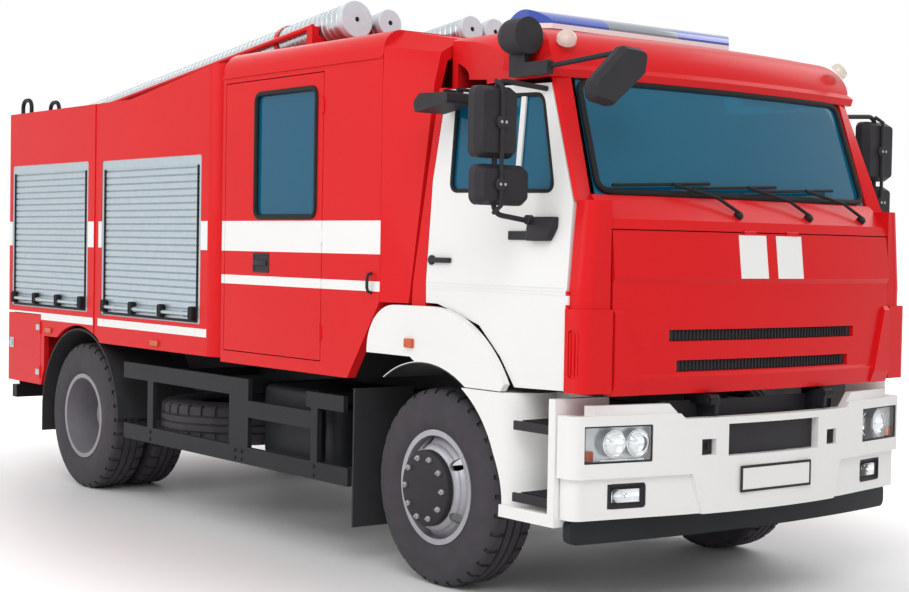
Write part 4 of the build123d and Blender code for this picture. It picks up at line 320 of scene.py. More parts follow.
def rounded_loop(corners, radius):
    """Points round a convex polygon, given in order, with its corners rounded."""
    points = []
    count = len(corners)
    for number in range(count):
        corner = Vector(corners[number])
        to_last = (Vector(corners[number - 1]) - corner).normalized()
        to_next = (Vector(corners[(number + 1) % count]) - corner).normalized()
        for step in range(CORNER_STEPS + 1):
            share = step / CORNER_STEPS
            points.append(corner + radius * ((1 - share) ** 2 * to_last + share ** 2 * to_next))
    return points


# Materials


def linear(code):
    """sRGB hex colour as linear RGBA."""
    values = [int(code[place:place + 2], 16) / 255 for place in (1, 3, 5)]
    return [v / 12.92 if v <= 0.04045 else ((v + 0.055) / 1.055) ** 2.4 for v in values] + [1]


def add(tree, kind, inputs=None, **settings):
    """Adds a node to a tree with its settings, and constants or links on its inputs."""
    item = tree.nodes.new("ShaderNode" + kind)
    for key, value in settings.items():
        setattr(item, key, value)
    for key, value in (inputs or {}).items():
        if isinstance(value, bpy.types.NodeSocket):
            tree.links.new(value, item.inputs[key])
        else:
            item.inputs[key].default_value = value
    return item


def maths(tree, operation, *values):
    """Result of one sum on numbers and other nodes' results."""
    return add(tree, "Math", dict(enumerate(values)), operation=operation).outputs[0]


def here(tree):
    """Place of the point that is shaded, in the truck's frame."""
    return add(tree, "TexCoord").outputs["Object"]


def new_material(name):
    """Empty node material."""
    material = bpy.data.materials.new(name)
    material.use_nodes = True
    material.node_tree.nodes.clear()
    return material, material.node_tree


def shade(tree, inputs):
    """Ends a material in one shader with the given inputs."""
    shader = add(tree, "BsdfPrincipled", inputs)
    add(tree, "OutputMaterial", {"Surface": shader.outputs["BSDF"]})


def mottled(tree, light, dark, grain):
    """Colour that drifts between two close tones over a real distance in millimetres."""
    drift = add(tree, "TexNoise", {"Vector": here(tree), "Scale": 1000 / grain, "Detail": 2.0})
    tones = add(tree, "Mix", {0: drift.outputs[0], 6: linear(dark), 7: linear(light)}, data_type="RGBA")
    return tones.outputs[2]


def rough_skin(tree, grain, depth):
    """Fine relief of a grain and depth in millimetres."""
    grit = add(tree, "TexNoise", {"Vector": here(tree), "Scale": 1000 / grain, "Detail": 3.0})
    relief = add(tree, "Bump", {"Height": grit.outputs[0], "Strength": 0.5, "Distance": depth / 1000})
    return relief.outputs["Normal"]


def within(tree, axis, low, high, mirrored_about_zero=False):
    """1 where a coordinate lies between two limits, otherwise 0."""
    value = add(tree, "SeparateXYZ", {0: here(tree)}).outputs[axis]
    if mirrored_about_zero:
        value = maths(tree, "ABSOLUTE", value)
    return maths(tree, "COMPARE", value, (low + high) / 2, (high - low) / 2)


def striped(tree, ground, stripe, masks):
    """Ground colour with a stripe colour laid over it wherever a mask is 1."""
    colour = ground
    for mask in masks:
        colour = add(tree, "Mix", {0: mask, 6: colour, 7: stripe}, data_type="RGBA").outputs[2]
    return colour


FIRE_RED = ("#E21E22", "#D8181D")
PAINT_WHITE = ("#F4F4F2", "#EDEDEC")


def coat(name, tones, drift, inputs, skin=None, masks=None, second=None):
    """Material whose tone drifts, with the shader's inputs, a relief, and a second colour under masks."""
    material, tree = new_material(name)
    ground = mottled(tree, *tones, drift)
    if masks:
        ground = striped(tree, ground, linear(second), masks(tree))
    if skin:
        inputs["Normal"] = rough_skin(tree, *skin)
    shade(tree, {"Base Color": ground, **inputs})
    return material


def gloss_paint(name, tones, masks=None, second=PAINT_WHITE[0]):
    """Sprayed two-pack polyurethane: deep colour under a clear gloss, with a faint drift of tone."""
    gloss = {"Roughness": 0.34, "IOR": 1.5, "Specular IOR Level": 0.10, "Coat Weight": 0.08,
             "Coat Roughness": 0.08}
    return coat(name, tones, 900, gloss, (6, 0.02), masks, second)


def body_bands(tree):
    """White band half way up the body's side and a thin one under its shutters, broken at its seam."""
    rear = within(tree, "X", ahead(-5.600), ahead(-3.955))
    front = within(tree, "X", ahead(-3.890), ahead(-2.313))
    along = maths(tree, "ADD", rear, front)
    bands = ((1.758, 1.943), (1.200, 1.253))
    return [maths(tree, "MULTIPLY", along, within(tree, "Z", *band)) for band in bands]


def crew_bands(tree):
    """White band and thin line on the crew cabin."""
    return [within(tree, "Z", 1.758, 1.943), within(tree, "Z", 1.554, 1.609)]


def cab_underside(tree):
    """Floor, pivot ears and wheel side of the cab, which are sprayed black."""
    return [within(tree, "Z", 0.500, 1.104)]


def arch_and_gap_painted_shade(tree):
    """Insides of the wheel arches and what shows in the gaps above them, made near black as painted shade."""
    behind_skin = within(tree, "Y", 0.0, 1.192, True)
    low_down = within(tree, "Z", 0.500, 1.420)
    return [maths(tree, "MULTIPLY", behind_skin, low_down)]


def wheel_inner_painted_shade(tree):
    """Inner side of the front wheels, given a dark colour as painted shade."""
    return [within(tree, "Y", 0.800, 1.105, True)]


def lid_bars(tree):
    """Two upright white bars at the top of the front lid."""
    across = within(tree, "Y", 0.037, 0.237, True)
    upright = within(tree, "Z", 1.672, 1.890)
    return [maths(tree, "MULTIPLY", across, upright)]


def satin_paint(name, tones, roughness):
    """Powder coat: dull sheen with a fine pebble."""
    return coat(name, tones, 300, {"Roughness": roughness, "IOR": 1.5, "Specular IOR Level": 0.15}, (4, 0.15))


def moulded_plastic(name, tones, roughness=0.55):
    """Moulded polypropylene: dull, with a leathery grain drawn coarse enough to show."""
    return coat(name, tones, 120, {"Roughness": roughness, "IOR": 1.49, "Specular IOR Level": 0.2}, (5, 0.3))


def tyre_rubber(name, tones):
    """Vulcanised rubber: matt black with pale dust in patches."""
    return coat(name, tones, 90, {"Roughness": 0.78, "IOR": 1.52}, (8, 0.4))


def anodised(name, tones, roughness, grain=40, metallic=0.85, masks=None):
    """Bare or anodised metal: soft broad shine with a drift of tone, and a dark painted shade where a mask
    says so.
    """
    metal = {"Metallic": metallic, "Roughness": roughness}
    return coat(name, tones, grain, metal, (10, 0.05), masks, "#2A2A2C")


def lamp_plastic(name, tones, transmission):
    """Moulded acrylic: glossy, lets part of the light through."""
    return coat(name, tones, 60, {"Roughness": 0.08, "IOR": 1.49, "Transmission Weight": transmission})


def window_glass(name, tones, transmission):
    """Tinted safety glass: smooth, dark teal, mirrors the studio."""
    return coat(name, tones, 1500, {"Roughness": 0.03, "IOR": 1.52, "Specular IOR Level": 0.14,
                                    "Transmission Weight": transmission})


def light_bar_plastic():
    """Light bar: blue covers at both ends, a grey cover in the middle, on a white base."""
    material, tree = new_material("acrylic_light_bar")
    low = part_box("light_bar")[0][2]
    blue = mottled(tree, "#2E55C8", "#2448B4", 60)
    grey_middle = striped(tree, blue, linear("#7C8796"), [within(tree, "Y", -0.27, 0.27)])
    base = within(tree, "Z", low - 0.01, low + 0.052)
    white_base = striped(tree, grey_middle, linear(PAINT_WHITE[0]), [base])
    shade(tree, {"Base Color": white_base, "Roughness": 0.1, "IOR": 1.49, "Coat Weight": 0.5})
    return material


def chequer_plate():
    """Rolled aluminium tread plate: raised dashes in rows."""
    material, tree = new_material("aluminium_chequer_plate")
    pattern = {"Vector": here(tree), "Scale": 1000 / 60, "Mortar Size": 0.06}
    raised = {"Height": add(tree, "TexBrick", pattern).outputs["Fac"], "Strength": 0.6, "Distance": 0.002}
    relief = add(tree, "Bump", raised, invert=True)
    shade(tree, {"Base Color": mottled(tree, "#A9AEB1", "#94999C", 150), "Metallic": 0.8, "Roughness": 0.42,
                 "Normal": relief.outputs["Normal"]})
    return material


def seat_cloth():
    """Woven polyester seat cloth: matt, with a weave drawn at 6 mm so that it shows."""
    material, tree = new_material("woven_seat_cloth")
    thread = {"Vector": here(tree), "Scale": 1000 / 6 / 6.3}
    warp = add(tree, "TexWave", thread, bands_direction="Y")
    weft = add(tree, "TexWave", thread, bands_direction="Z")
    weave = maths(tree, "MULTIPLY", warp.outputs["Fac"], weft.outputs["Fac"])
    relief = add(tree, "Bump", {"Height": weave, "Strength": 0.5, "Distance": 0.001})
    shade(tree, {"Base Color": mottled(tree, "#3B3F48", "#30333A", 25), "Roughness": 0.9,
                 "Sheen Weight": 0.3, "Normal": relief.outputs["Normal"]})
    return material


# Radius round the front axle within which the fender is given painted shade
ARCH_SHADE_RADIUS = 0.668


def fender_paint():
    """Gloss white fender skin, made near black inside the wheel arch as painted shade."""
    material, tree = new_material("white_gloss_paint_painted_arch_shade")
    axle = (FRONT_AXLE_X, 0, TYRE_RADIUS)
    hub = add(tree, "VectorMath", {0: here(tree), 1: axle}, operation="SUBTRACT")
    upright = add(tree, "VectorMath", {0: hub.outputs[0], 1: (1, 0, 1)}, operation="MULTIPLY")
    reach = add(tree, "VectorMath", {0: upright.outputs[0]}, operation="LENGTH")
    inside = maths(tree, "LESS_THAN", reach.outputs["Value"], ARCH_SHADE_RADIUS)
    ground = striped(tree, mottled(tree, *PAINT_WHITE, 900), linear("#1B1B1D"), [inside])
    shade(tree, {"Base Color": ground, "Roughness": 0.36, "IOR": 1.5, "Specular IOR Level": 0.16,
                 "Coat Weight": 0.1, "Normal": rough_skin(tree, 6, 0.02)})
    return material


red = gloss_paint("red_gloss_paint", FIRE_RED)
red_body = gloss_paint("red_gloss_paint_body_bands", FIRE_RED, body_bands)
red_crew = gloss_paint("red_gloss_paint_crew_bands", FIRE_RED, crew_bands)
red_lid = gloss_paint("red_gloss_paint_lid_bars", FIRE_RED, lid_bars)
red_cab = gloss_paint("red_gloss_paint_black_underside", FIRE_RED, cab_underside, "#1E1E20")
# Red shells with painted shade, near black, behind the outer skin low down
red_shell = gloss_paint("red_gloss_paint_painted_arch_shade", FIRE_RED, arch_and_gap_painted_shade, "#1E1E20")
white = gloss_paint("white_gloss_paint", PAINT_WHITE)
fender_white = fender_paint()
chassis_black = satin_paint("black_chassis_paint", ("#2A2C2E", "#212325"), 0.5)
guard_grey = satin_paint("grey_powder_coat", ("#2A2B2F", "#222327"), 0.5)
plastic = moulded_plastic("charcoal_polypropylene", ("#343236", "#2A292C"))
gasket_rubber = moulded_plastic("black_gasket_rubber", ("#202022", "#18181A"), 0.6)
rubber = tyre_rubber("tyre_rubber", ("#413C43", "#2A272C"))
flap_rubber = tyre_rubber("flap_rubber", ("#2E2D30", "#222124"))
slat_metal = anodised("anodised_shutter_slats", ("#BCC7CD", "#AEBAC1"), 0.38, 60, 0.55)
galvanised = anodised("galvanised_duct", ("#D5DBDE", "#AEB7BD"), 0.3, 25)
cap_metal = anodised("pale_painted_caps", ("#D8E4EA", "#C9D6DD"), 0.45, 60, 0.2)
cast_steel = anodised("cast_steel", ("#4A4B4D", "#38393B"), 0.6, 60, 0.6)
# The silver wheel paint carries painted shade, dark grey, on the wheels' inner side
wheel_paint = anodised("silver_wheel_paint_painted_inner_shade", ("#B0AFB5", "#9C9BA2"), 0.42, 60, 0.55, wheel_inner_painted_shade)
dull_wheel_paint = anodised("dull_wheel_paint", ("#98949A", "#86838A"), 0.5, 60, 0.3)
lamp_silver = anodised("vapour_silvered_plastic", ("#D9DDE0", "#C6CBCF"), 0.3, 60, 0.6)
bright_metal = anodised("polished_reflector", ("#F2F4F5", "#E3E6E8"), 0.08, 60, 1.0)
mirror_glass = anodised("mirror_glass", ("#DDE3E6", "#D3DADE"), 0.03, 300, 1.0)
clear_lens = lamp_plastic("clear_acrylic", ("#FFFFFF", "#F6F8F9"), 1.0)
amber_lens = lamp_plastic("amber_acrylic", ("#E8641C", "#D9541E"), 0.25)
red_lens = lamp_plastic("red_acrylic", ("#C01218", "#A90E14"), 0.25)
pale_lens = lamp_plastic("opal_acrylic", ("#F3EFE4", "#E9E4D6"), 0.3)
side_glass = window_glass("teal_side_glass", ("#05769A", "#036488"), 0.38)
screen_glass = window_glass("teal_windscreen", ("#067B9E", "#046B8D"), 0.38)
beacon = light_bar_plastic()
deck_plate = chequer_plate()
cloth = seat_cloth()

# Finish of each CAD node
NODE_FINISH = (
    (red_body, "body_side_panels"),
    (red_crew, "crew_side_panels crew_door_left crew_door_right"),
    (red_lid, "front_lid"),
    (red_cab, "cab_front"),
    (red_shell, "cab_shell cab_fairing crew_shell"),
    (red, "body_end_walls cab_roof crew_roof locker_door_left locker_door_right rear_lockers "
          "tube_cradles"),
    (white, "cab_door_left cab_door_right cab_steps front_bumper"),
    (fender_white, "front_fenders"),
    (chassis_black, "frame_rails frame_crossmembers frame_boxes leaf_springs front_axle rear_axle tie_rod "
                    "underrun_bars rear_ladder"),
    (guard_grey, "side_guards"),
    (slat_metal, "roller_shutters"),
    (galvanised, "hose_tubes"),
    (deck_plate, "body_floors"),
    (wheel_paint, "front_wheel_left front_wheel_right"),
    (dull_wheel_paint, "rear_wheels_left rear_wheels_right"),
    (cast_steel, "driveline knuckle_left knuckle_right"),
    (rubber, "front_tyre_left front_tyre_right rear_tyres_left rear_tyres_right spare_tyre"),
    (flap_rubber, "mudguards"),
    (plastic, "dashboard mirror_left mirror_right roof_fittings"),
    (clear_lens, "lamps"),
    (beacon, "light_bar"),
    (side_glass, "cab_glass_left cab_glass_right crew_glass_left crew_glass_right"),
    (screen_glass, "windscreen"),
    (cloth, "cab_seats crew_bench"),
)
for material, names in NODE_FINISH:
    for name in names.split():
        paint(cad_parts[name], material)

# Tyres: one is modelled about the Y axis at the origin and copied to every wheel
TREAD_STEPS = 128
LUG_STEPS = 4
LUG_GROOVE_DEPTH = 0.012
LUG_GROOVE_BORDER = 0.0015
# Side of the tyre from bead to shoulder: radius, and distance from the tyre's middle
SIDEWALL = ((0.292, 0.114), (0.316, 0.128), (0.352, 0.1365), (0.410, 0.1395), (0.465, 0.136),
            (0.499, 0.128), (0.517, 0.117))
SHOULDER_RADIUS = 0.507
SHOULDER_START = 0.062
TREAD_EDGE = 0.106
TREAD_DROP = 0.003
GROOVES = (-0.052, 0.0, 0.052)
GROOVE_HALF = 0.007
GROOVE_FLOOR_HALF = 0.005
GROOVE_DEPTH = 0.013


def tyre_profile():
    """Section of the tyre, closed, with its grooves."""
    tread = [(TYRE_RADIUS - TREAD_DROP, -TREAD_EDGE)]
    for groove in GROOVES:
        bottom = TYRE_RADIUS - GROOVE_DEPTH
        tread += [(TYRE_RADIUS, groove - GROOVE_HALF), (bottom, groove - GROOVE_FLOOR_HALF),
                  (bottom, groove + GROOVE_FLOOR_HALF), (TYRE_RADIUS, groove + GROOVE_HALF)]
    tread.append((TYRE_RADIUS - TREAD_DROP, TREAD_EDGE))
    near = [(radius, -out) for radius, out in SIDEWALL]
    return near + tread + list(reversed(SIDEWALL)) + [near[0]]


def in_shoulder_groove(face):
    """True for the faces of the shoulder that lie in every fourth step round the tyre."""
    x, y, z = face.center
    step = floor(atan2(z, x) / (2 * pi / TREAD_STEPS))
    return Vector((x, 0, z)).length > SHOULDER_RADIUS and abs(y) > SHOULDER_START and step % LUG_STEPS == 0


tyre_pattern = lathe(tyre_profile(), (0, 0, 0), (0, 1, 0), TREAD_STEPS)
press_in(tyre_pattern, in_shoulder_groove, LUG_GROOVE_BORDER, -LUG_GROOVE_DEPTH)
paint(tyre_pattern, rubber)

for name in SIDES:
    front_tyre = copy_of(tyre_pattern, middle(f"front_tyre_{name}"))
    done(front_tyre, f"front_road_tyre_{name}", f"front_wheel_{name}")
    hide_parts(f"front_tyre_{name}")
    twin_low, twin_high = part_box(f"rear_tyres_{name}")
    twins = [copy_of(tyre_pattern, (REAR_AXLE_X, y, TYRE_RADIUS))
             for y in (twin_low[1] + TYRE_WIDTH / 2, twin_high[1] - TYRE_WIDTH / 2)]
    rear_tyres = joined(twins)
    done(rear_tyres, f"rear_road_tyres_{name}", f"rear_wheels_{name}")
    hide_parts(f"rear_tyres_{name}")
lay_flat = Matrix.Translation(middle("spare_tyre")) @ Matrix.Rotation(pi / 2, 4, "X")
spare = turned_copy(tyre_pattern, lay_flat)
done(spare, "spare_road_tyre", "chassis")
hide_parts("spare_tyre")
bpy.data.objects.remove(tyre_pattern)

# Wheel hubs: a dark round cover with its nuts at the front, bare nuts at the rear
NUT_COUNT = 10
FRONT_NUT_CIRCLE = 0.163
REAR_NUT_CIRCLE = 0.1385
NUT_RADIUS = 0.017
NUT_HEIGHT = 0.020
STUD_RADIUS = 0.009
STUD_LENGTH = 0.012
# Radius, and height above the disc that carries the cover
HUB_COVER = ((0.203, 0.001), (0.203, 0.028), (0.200, 0.034), (0.190, 0.0395), (0.140, 0.0385),
             (0.126, 0.0405), (0.060, 0.0425), (0.0, 0.043))
NUT_SEAT = 0.034
# Distance of each wheel's disc from the outer tyre's middle, outward
FRONT_DISC = 0.165
REAR_DISC = -0.1435


def wheel_nut():
    """Hexagon nut with its stud, standing along +Y on the origin."""
    begin()
    bpy.ops.mesh.primitive_cylinder_add(vertices=6, radius=NUT_RADIUS, depth=NUT_HEIGHT,
                                        location=(0, NUT_HEIGHT / 2, 0), rotation=(pi / 2, 0, 0))
    nut = settle(bpy.context.object)
    pick(nut, "FACE", nut.data.polygons, OUTWARD)
    bpy.ops.mesh.inset(thickness=NUT_RADIUS - STUD_RADIUS)
    draw_out((0, STUD_LENGTH, 0))
    mode("OBJECT")
    return ease(nut, 0.002, 1)


def nut_ring(nut, seat, circle):
    """Nuts on a circle round a wheel's axis, on a seat that faces outward."""
    ring = []
    for place in range(NUT_COUNT):
        angle = 2 * pi * place / NUT_COUNT
        ring.append(copy_of(nut, seat + Vector((circle * cos(angle), 0, circle * sin(angle)))))
    return joined(ring)


nut_pattern = wheel_nut()
seat = middle("front_tyre_left") + Vector((0, FRONT_DISC, 0))
cover = lathe(HUB_COVER, seat, (0, 1, 0), 48)
both_sides(cover, "front_hub_cover", "front_wheel_{}", plastic)
front_nuts = nut_ring(nut_pattern, seat + Vector((0, NUT_SEAT, 0)), FRONT_NUT_CIRCLE)
both_sides(front_nuts, "front_wheel_nuts", "front_wheel_{}", wheel_paint)
outer_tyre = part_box("rear_tyres_left")[1][1] - TYRE_WIDTH / 2
rear_seat = Vector((REAR_AXLE_X, outer_tyre + REAR_DISC, TYRE_RADIUS))
rear_nuts = nut_ring(nut_pattern, rear_seat, REAR_NUT_CIRCLE)
both_sides(rear_nuts, "rear_wheel_nuts", "rear_wheels_{}", dull_wheel_paint)
bpy.data.objects.remove(nut_pattern)

# Rubber round the windows
CAB_GASKET = 0.011
CREW_GASKET = 0.016
DOOR_WINDOW = ((0.093, 2.098), (0.912, 2.085), (0.774, 2.568), (0.082, 2.590))
CREW_WINDOW = ((-1.730, 1.966), (-1.060, 1.966), (-1.060, 2.710), (-1.730, 2.710))
WINDOW_RADIUS = 0.055
loop = rounded_loop(DOOR_WINDOW, WINDOW_RADIUS)
door_gasket = bead([(ahead(x), cab_side(z) - 0.004, z) for x, z in loop], CAB_GASKET, True)
both_sides(door_gasket, "cab_window_rubber", "cab_door_{}", gasket_rubber)
loop = rounded_loop(CREW_WINDOW, WINDOW_RADIUS)
crew_gasket = bead([(ahead(x), BODY_SIDE_Y - 0.002, z) for x, z in loop], CREW_GASKET, True)
both_sides(crew_gasket, "crew_window_rubber", "crew_door_{}", gasket_rubber)

# Windscreen: x ahead of the axle, height and half width at its lower and its upper edge
SCREEN_LOW = (1.131, 2.088, 1.000)
SCREEN_HIGH = (0.936, 2.640, 0.975)
# Corners of the glass: share of the way up, and share of the half width
SCREEN_CORNERS = ((0.0, -1.0), (0.0, 1.0), (1.0, 1.0), (1.0, -1.0))
SCREEN_ROUND = 0.10
SCREEN_GASKET = 0.017
BOW_STEPS = 10


def on_screen(share, y):
    """Point of the windscreen's outer face, a share of the way up and of the half width."""
    x, z, half = [low + share * (high - low) for low, high in zip(SCREEN_LOW, SCREEN_HIGH)]
    return Vector((on_bow(x, y * half), y * half, z))


def screen_edge():
    """Points round the windscreen, its long edges divided so that they follow the bow."""
    loop = rounded_loop(SCREEN_CORNERS, SCREEN_ROUND)
    points = []
    for number, (share, y) in enumerate(loop):
        last_share, last_y = loop[number - 1]
        steps = BOW_STEPS if abs(y - last_y) > 0.5 else 1
        for step in range(1, steps + 1):
            part = step / steps
            points.append(on_screen(last_share + (share - last_share) * part, last_y + (y - last_y) * part))
    return points


screen_gasket = bead(screen_edge(), SCREEN_GASKET, True)
done(screen_gasket, "windscreen_rubber", "cab", gasket_rubber)

# Wipers: pivot on the cowl, an arm up to the glass and a blade along its lower edge
# Columns: y of the pivot, y of the arm's end, y limits of the blade
WIPERS = ((-0.200, -0.560, -0.930, -0.300), (0.345, -0.030, -0.420, 0.200), (0.830, 0.440, 0.060, 0.700))
PIVOT_X = 1.236
PIVOT_Z = 1.985
PIVOT_CAP = ((0.024, -0.03), (0.024, 0.014), (0.015, 0.024), (0, 0.026))
ELBOW_X = 1.180
ELBOW_Z = 2.075
BLADE_STEPS = 6
wiper_parts = []
for pivot_y, arm_y, blade_start, blade_end in WIPERS:
    pivot = Vector((on_bow(PIVOT_X, pivot_y), pivot_y, PIVOT_Z))
    elbow_y = arm_y * 0.3 + pivot_y * 0.7
    elbow = Vector((on_bow(ELBOW_X, elbow_y) + 0.02, elbow_y, ELBOW_Z))
    tip = on_screen(0.09, arm_y) + Vector((0.030, 0, 0))
    wiper_parts.append(lathe(PIVOT_CAP, pivot, (0.7, 0, 0.7), 16))
    wiper_parts.append(bead([pivot + Vector((0.012, 0, 0.016)), elbow, tip], 0.009))
    blade = []
    for step in range(BLADE_STEPS + 1):
        part = step / BLADE_STEPS
        on_glass = on_screen(0.05 + 0.05 * part, blade_start + (blade_end - blade_start) * part)
        blade.append(on_glass + Vector((0.020, 0, 0.004)))
    wiper_parts.append(bead(blade, 0.008))
done(joined(wiper_parts), "windscreen_wipers", "cab", gasket_rubber)

# Grille: dark mesh of upright ribs on a back strip in each slot of the lid
# Columns: half width, lower edge, upper edge
GRILLE_SLOTS = ((0.692, 1.366, 1.417), (0.642, 1.216, 1.267))
RIB_PITCH = 0.024
GRILLE_X = 1.270
STRIP_DEPTH = 0.003
STRIP_STEPS = 12
grille_parts = []
for half, low, high in GRILLE_SLOTS:
    across = [half * step / STRIP_STEPS for step in range(-STRIP_STEPS, STRIP_STEPS + 1)]
    grille_parts.append(bowed_strip([(on_bow(GRILLE_X, y), y, low) for y in across], high - low, STRIP_DEPTH))
    rib = eased_box((-0.003, -0.004, low), (0.009, 0.004, high), 0.002, 1)
    for place in range(int(-half / RIB_PITCH) + 1, int(half / RIB_PITCH)):
        y = place * RIB_PITCH
        grille_parts.append(copy_of(rib, (on_bow(GRILLE_X + STRIP_DEPTH, y), y, 0)))
    bpy.data.objects.remove(rib)
done(joined(grille_parts), "front_grille_mesh", "front_lid", plastic)

# Head and fog lamps, in the bumper's openings
# The bumper's face beside the lamps is flat, from its inner to its outer end
FACE_START = Vector((ahead(1.262), 0.800, 0))
FACE_END = Vector((ahead(1.200), 1.130, 0))
FACE_RUN = (FACE_END - FACE_START).normalized()
FACE_OUT = Vector((FACE_RUN.y, -FACE_RUN.x, 0))


def on_face(along, out, z):
    """Point of the left lamp: distance along the bumper's face, distance out of it, and height."""
    return FACE_START + FACE_RUN * along + FACE_OUT * out + Vector((0, 0, z))


def face_corners(along, z):
    """Corners of a rectangle on the bumper's face."""
    return [(along[0], z[0]), (along[1], z[0]), (along[1], z[1]), (along[0], z[1])]


def face_plate(along, z, out, depth):
    """Flat plate in the lamp's plane."""
    return plate([on_face(a, out, h) for a, h in face_corners(along, z)], FACE_OUT * depth)


def face_rim(along, z, out, corner, radius):
    """Round rim that frames a rectangle on the bumper's face."""
    loop = rounded_loop(face_corners(along, z), corner)
    return paint(bead([on_face(a, out, h) for a, h in loop], radius, True), plastic)


BOWL = ((0.066, 0.024), (0.062, 0.025), (0.056, 0.013), (0.040, 0.000), (0.020, -0.007), (0.0, -0.008))
BULB = ((0.013, -0.010), (0.013, 0.006), (0.009, 0.014), (0.0, 0.017))
LAMP_ALONG = (-0.001, 0.382)
LAMP_Z = (0.787, 0.961)
BOWL_PLACES = (0.074, 0.208)
BOWL_Z = 0.876


def head_lamp():
    """Left head lamp: silvered housing, bright bowls, amber corner, clear cover and rim."""
    housing = paint(ease(face_plate(LAMP_ALONG, LAMP_Z, -0.058, 0.010), 0.002), lamp_silver)
    bowls = []
    for along in BOWL_PLACES:
        spot = on_face(along, -0.040, BOWL_Z)
        bowls += [lathe(BOWL, spot, FACE_OUT, 28), lathe(BULB, spot, FACE_OUT, 12)]
    strip = ease(face_plate((0.020, 0.270), (0.792, 0.803), -0.046, 0.010), 0.003)
    bright = paint(joined(bowls + [strip]), bright_metal)
    amber = paint(ease(face_plate((0.315, 0.370), (0.795, 0.845), -0.046, 0.020), 0.006), amber_lens)
    cover = paint(ease(face_plate(LAMP_ALONG, LAMP_Z, -0.016, 0.004), 0.001), clear_lens)
    rim = face_rim(LAMP_ALONG, LAMP_Z, -0.008, 0.014, 0.005)
    return {"housing": housing, "reflectors": bright, "indicator": amber, "cover": cover, "rim": rim}


FOG_ALONG = (0.024, 0.230)
FOG_Z = (0.564, 0.676)


def fog_lamp():
    """Left fog lamp: dark housing, bright back with its bulb, clear cover and rim."""
    housing = face_plate(FOG_ALONG, FOG_Z, -0.058, 0.034)
    press_in(housing, facing(FACE_OUT), 0.024, -0.020)
    paint(ease(housing, 0.003), plastic)
    mirror_back = face_plate((0.049, 0.205), (0.589, 0.651), -0.044, 0.004)
    press_in(mirror_back, facing(FACE_OUT), 0.020, -0.003)
    bulb = lathe(BULB, on_face(0.127, -0.040, 0.620), FACE_OUT, 12)
    bright = paint(joined([mirror_back, bulb]), bright_metal)
    cover = paint(ease(face_plate((0.048, 0.206), (0.588, 0.652), -0.031, 0.003), 0.001), clear_lens)
    rim = face_rim(FOG_ALONG, FOG_Z, -0.026, 0.016, 0.006)
    return {"housing": housing, "reflectors": bright, "cover": cover, "rim": rim}


for lamp_name, parts in (("head_lamp", head_lamp()), ("fog_lamp", fog_lamp())):
    for part_name, part in parts.items():
        both_sides(part, f"{lamp_name}_{part_name}", "chassis")
        if part_name == "cover":
            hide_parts("lamps")

# Tail lamps on the rear bar: red, amber and pale cells in a dark housing
# Columns: finish, y limits of the cell
TAIL_CELLS = ((red_lens, (0.765, 0.945)), (amber_lens, (0.953, 1.055)), (pale_lens, (1.063, 1.145)))
CELL_X = (-5.502, -5.470)
CELL_Z = (0.664, 0.776)
HOUSING_X = (-5.470, -5.452)
HOUSING_Y = (0.760, 1.150)
HOUSING_Z = (0.661, 0.779)
tail_parts = [paint(block(HOUSING_X, HOUSING_Y, HOUSING_Z, 0.003), plastic)]
for finish, cell_y in TAIL_CELLS:
    tail_parts.append(paint(block(CELL_X, cell_y, CELL_Z, 0.010, 3), finish))
both_sides(joined(tail_parts), "tail_lamp", "chassis")

# Small amber lamps on the sides
# Columns: name, limits of x ahead of the axle, of y outward and of z
SMALL_LAMPS = (
    ("fender_lamp", (-0.155, -0.085), (1.246, 1.270), (1.265, 1.315)),
    ("body_side_lamp", (-3.060, -2.950), (1.246, 1.264), (1.105, 1.145)),
    ("rear_side_lamp", (-4.760, -4.650), (1.246, 1.264), (1.105, 1.145)),
)
for label, lamp_x, lamp_y, lamp_z in SMALL_LAMPS:
    lamp = block(lamp_x, lamp_y, lamp_z, 0.006, 3)
    press_in(lamp, OUTWARD, 0.006, -0.002)
    both_sides(lamp, label, "chassis", amber_lens)

# Domed marker lamps on the roof's front corners
MARKER_DOME = ((0.050, -0.012), (0.050, 0.006), (0.046, 0.020), (0.034, 0.034), (0.016, 0.041), (0.0, 0.043))
MARKER_LEAN = (0.62, 0.38, 0.70)
marker = lathe(MARKER_DOME, (ahead(0.845), 1.035, 2.838), MARKER_LEAN, 28)
both_sides(marker, "roof_marker", "cab", pale_lens)

# Upright ribs of the air slot in each corner fairing
RIB_PLACES = (1.116, 1.141, 1.166)
RIB_HALF = 0.005
slot_ribs = [block((x - RIB_HALF, x + RIB_HALF), (1.206, 1.220), (1.205, 1.405), 0.003) for x in RIB_PLACES]
both_sides(joined(slot_ribs), "corner_slot_ribs", "cab", red)

# Bare number plate in its dark holder on the bumper
HOLDER_HALF = 0.265
PLATE_HALF = 0.253
holder = block((1.346, 1.356), (-HOLDER_HALF, HOLDER_HALF), (0.602, 0.736), 0.004)
press_in(holder, FORWARD, 0.010, -0.004)
done(holder, "number_plate_holder", "chassis", plastic)
blank = block((1.350, 1.354), (-PLATE_HALF, PLATE_HALF), (0.614, 0.724), 0.002)
press_in(blank, FORWARD, 0.004, 0.001)
done(blank, "number_plate_blank", "chassis", white)

# Dark panels in the bumper's slot and towing holes, and behind its upper notch
BUMPER_NOSE_X = 1.350
BUMPER_BOW = 3.680


def on_bumper(inset, y):
    """x of the bumper's bowed front, drawn back by an inset, at a distance from the middle line."""
    return ahead(BUMPER_NOSE_X - inset) - BUMPER_BOW + sqrt(BUMPER_BOW ** 2 - y ** 2)


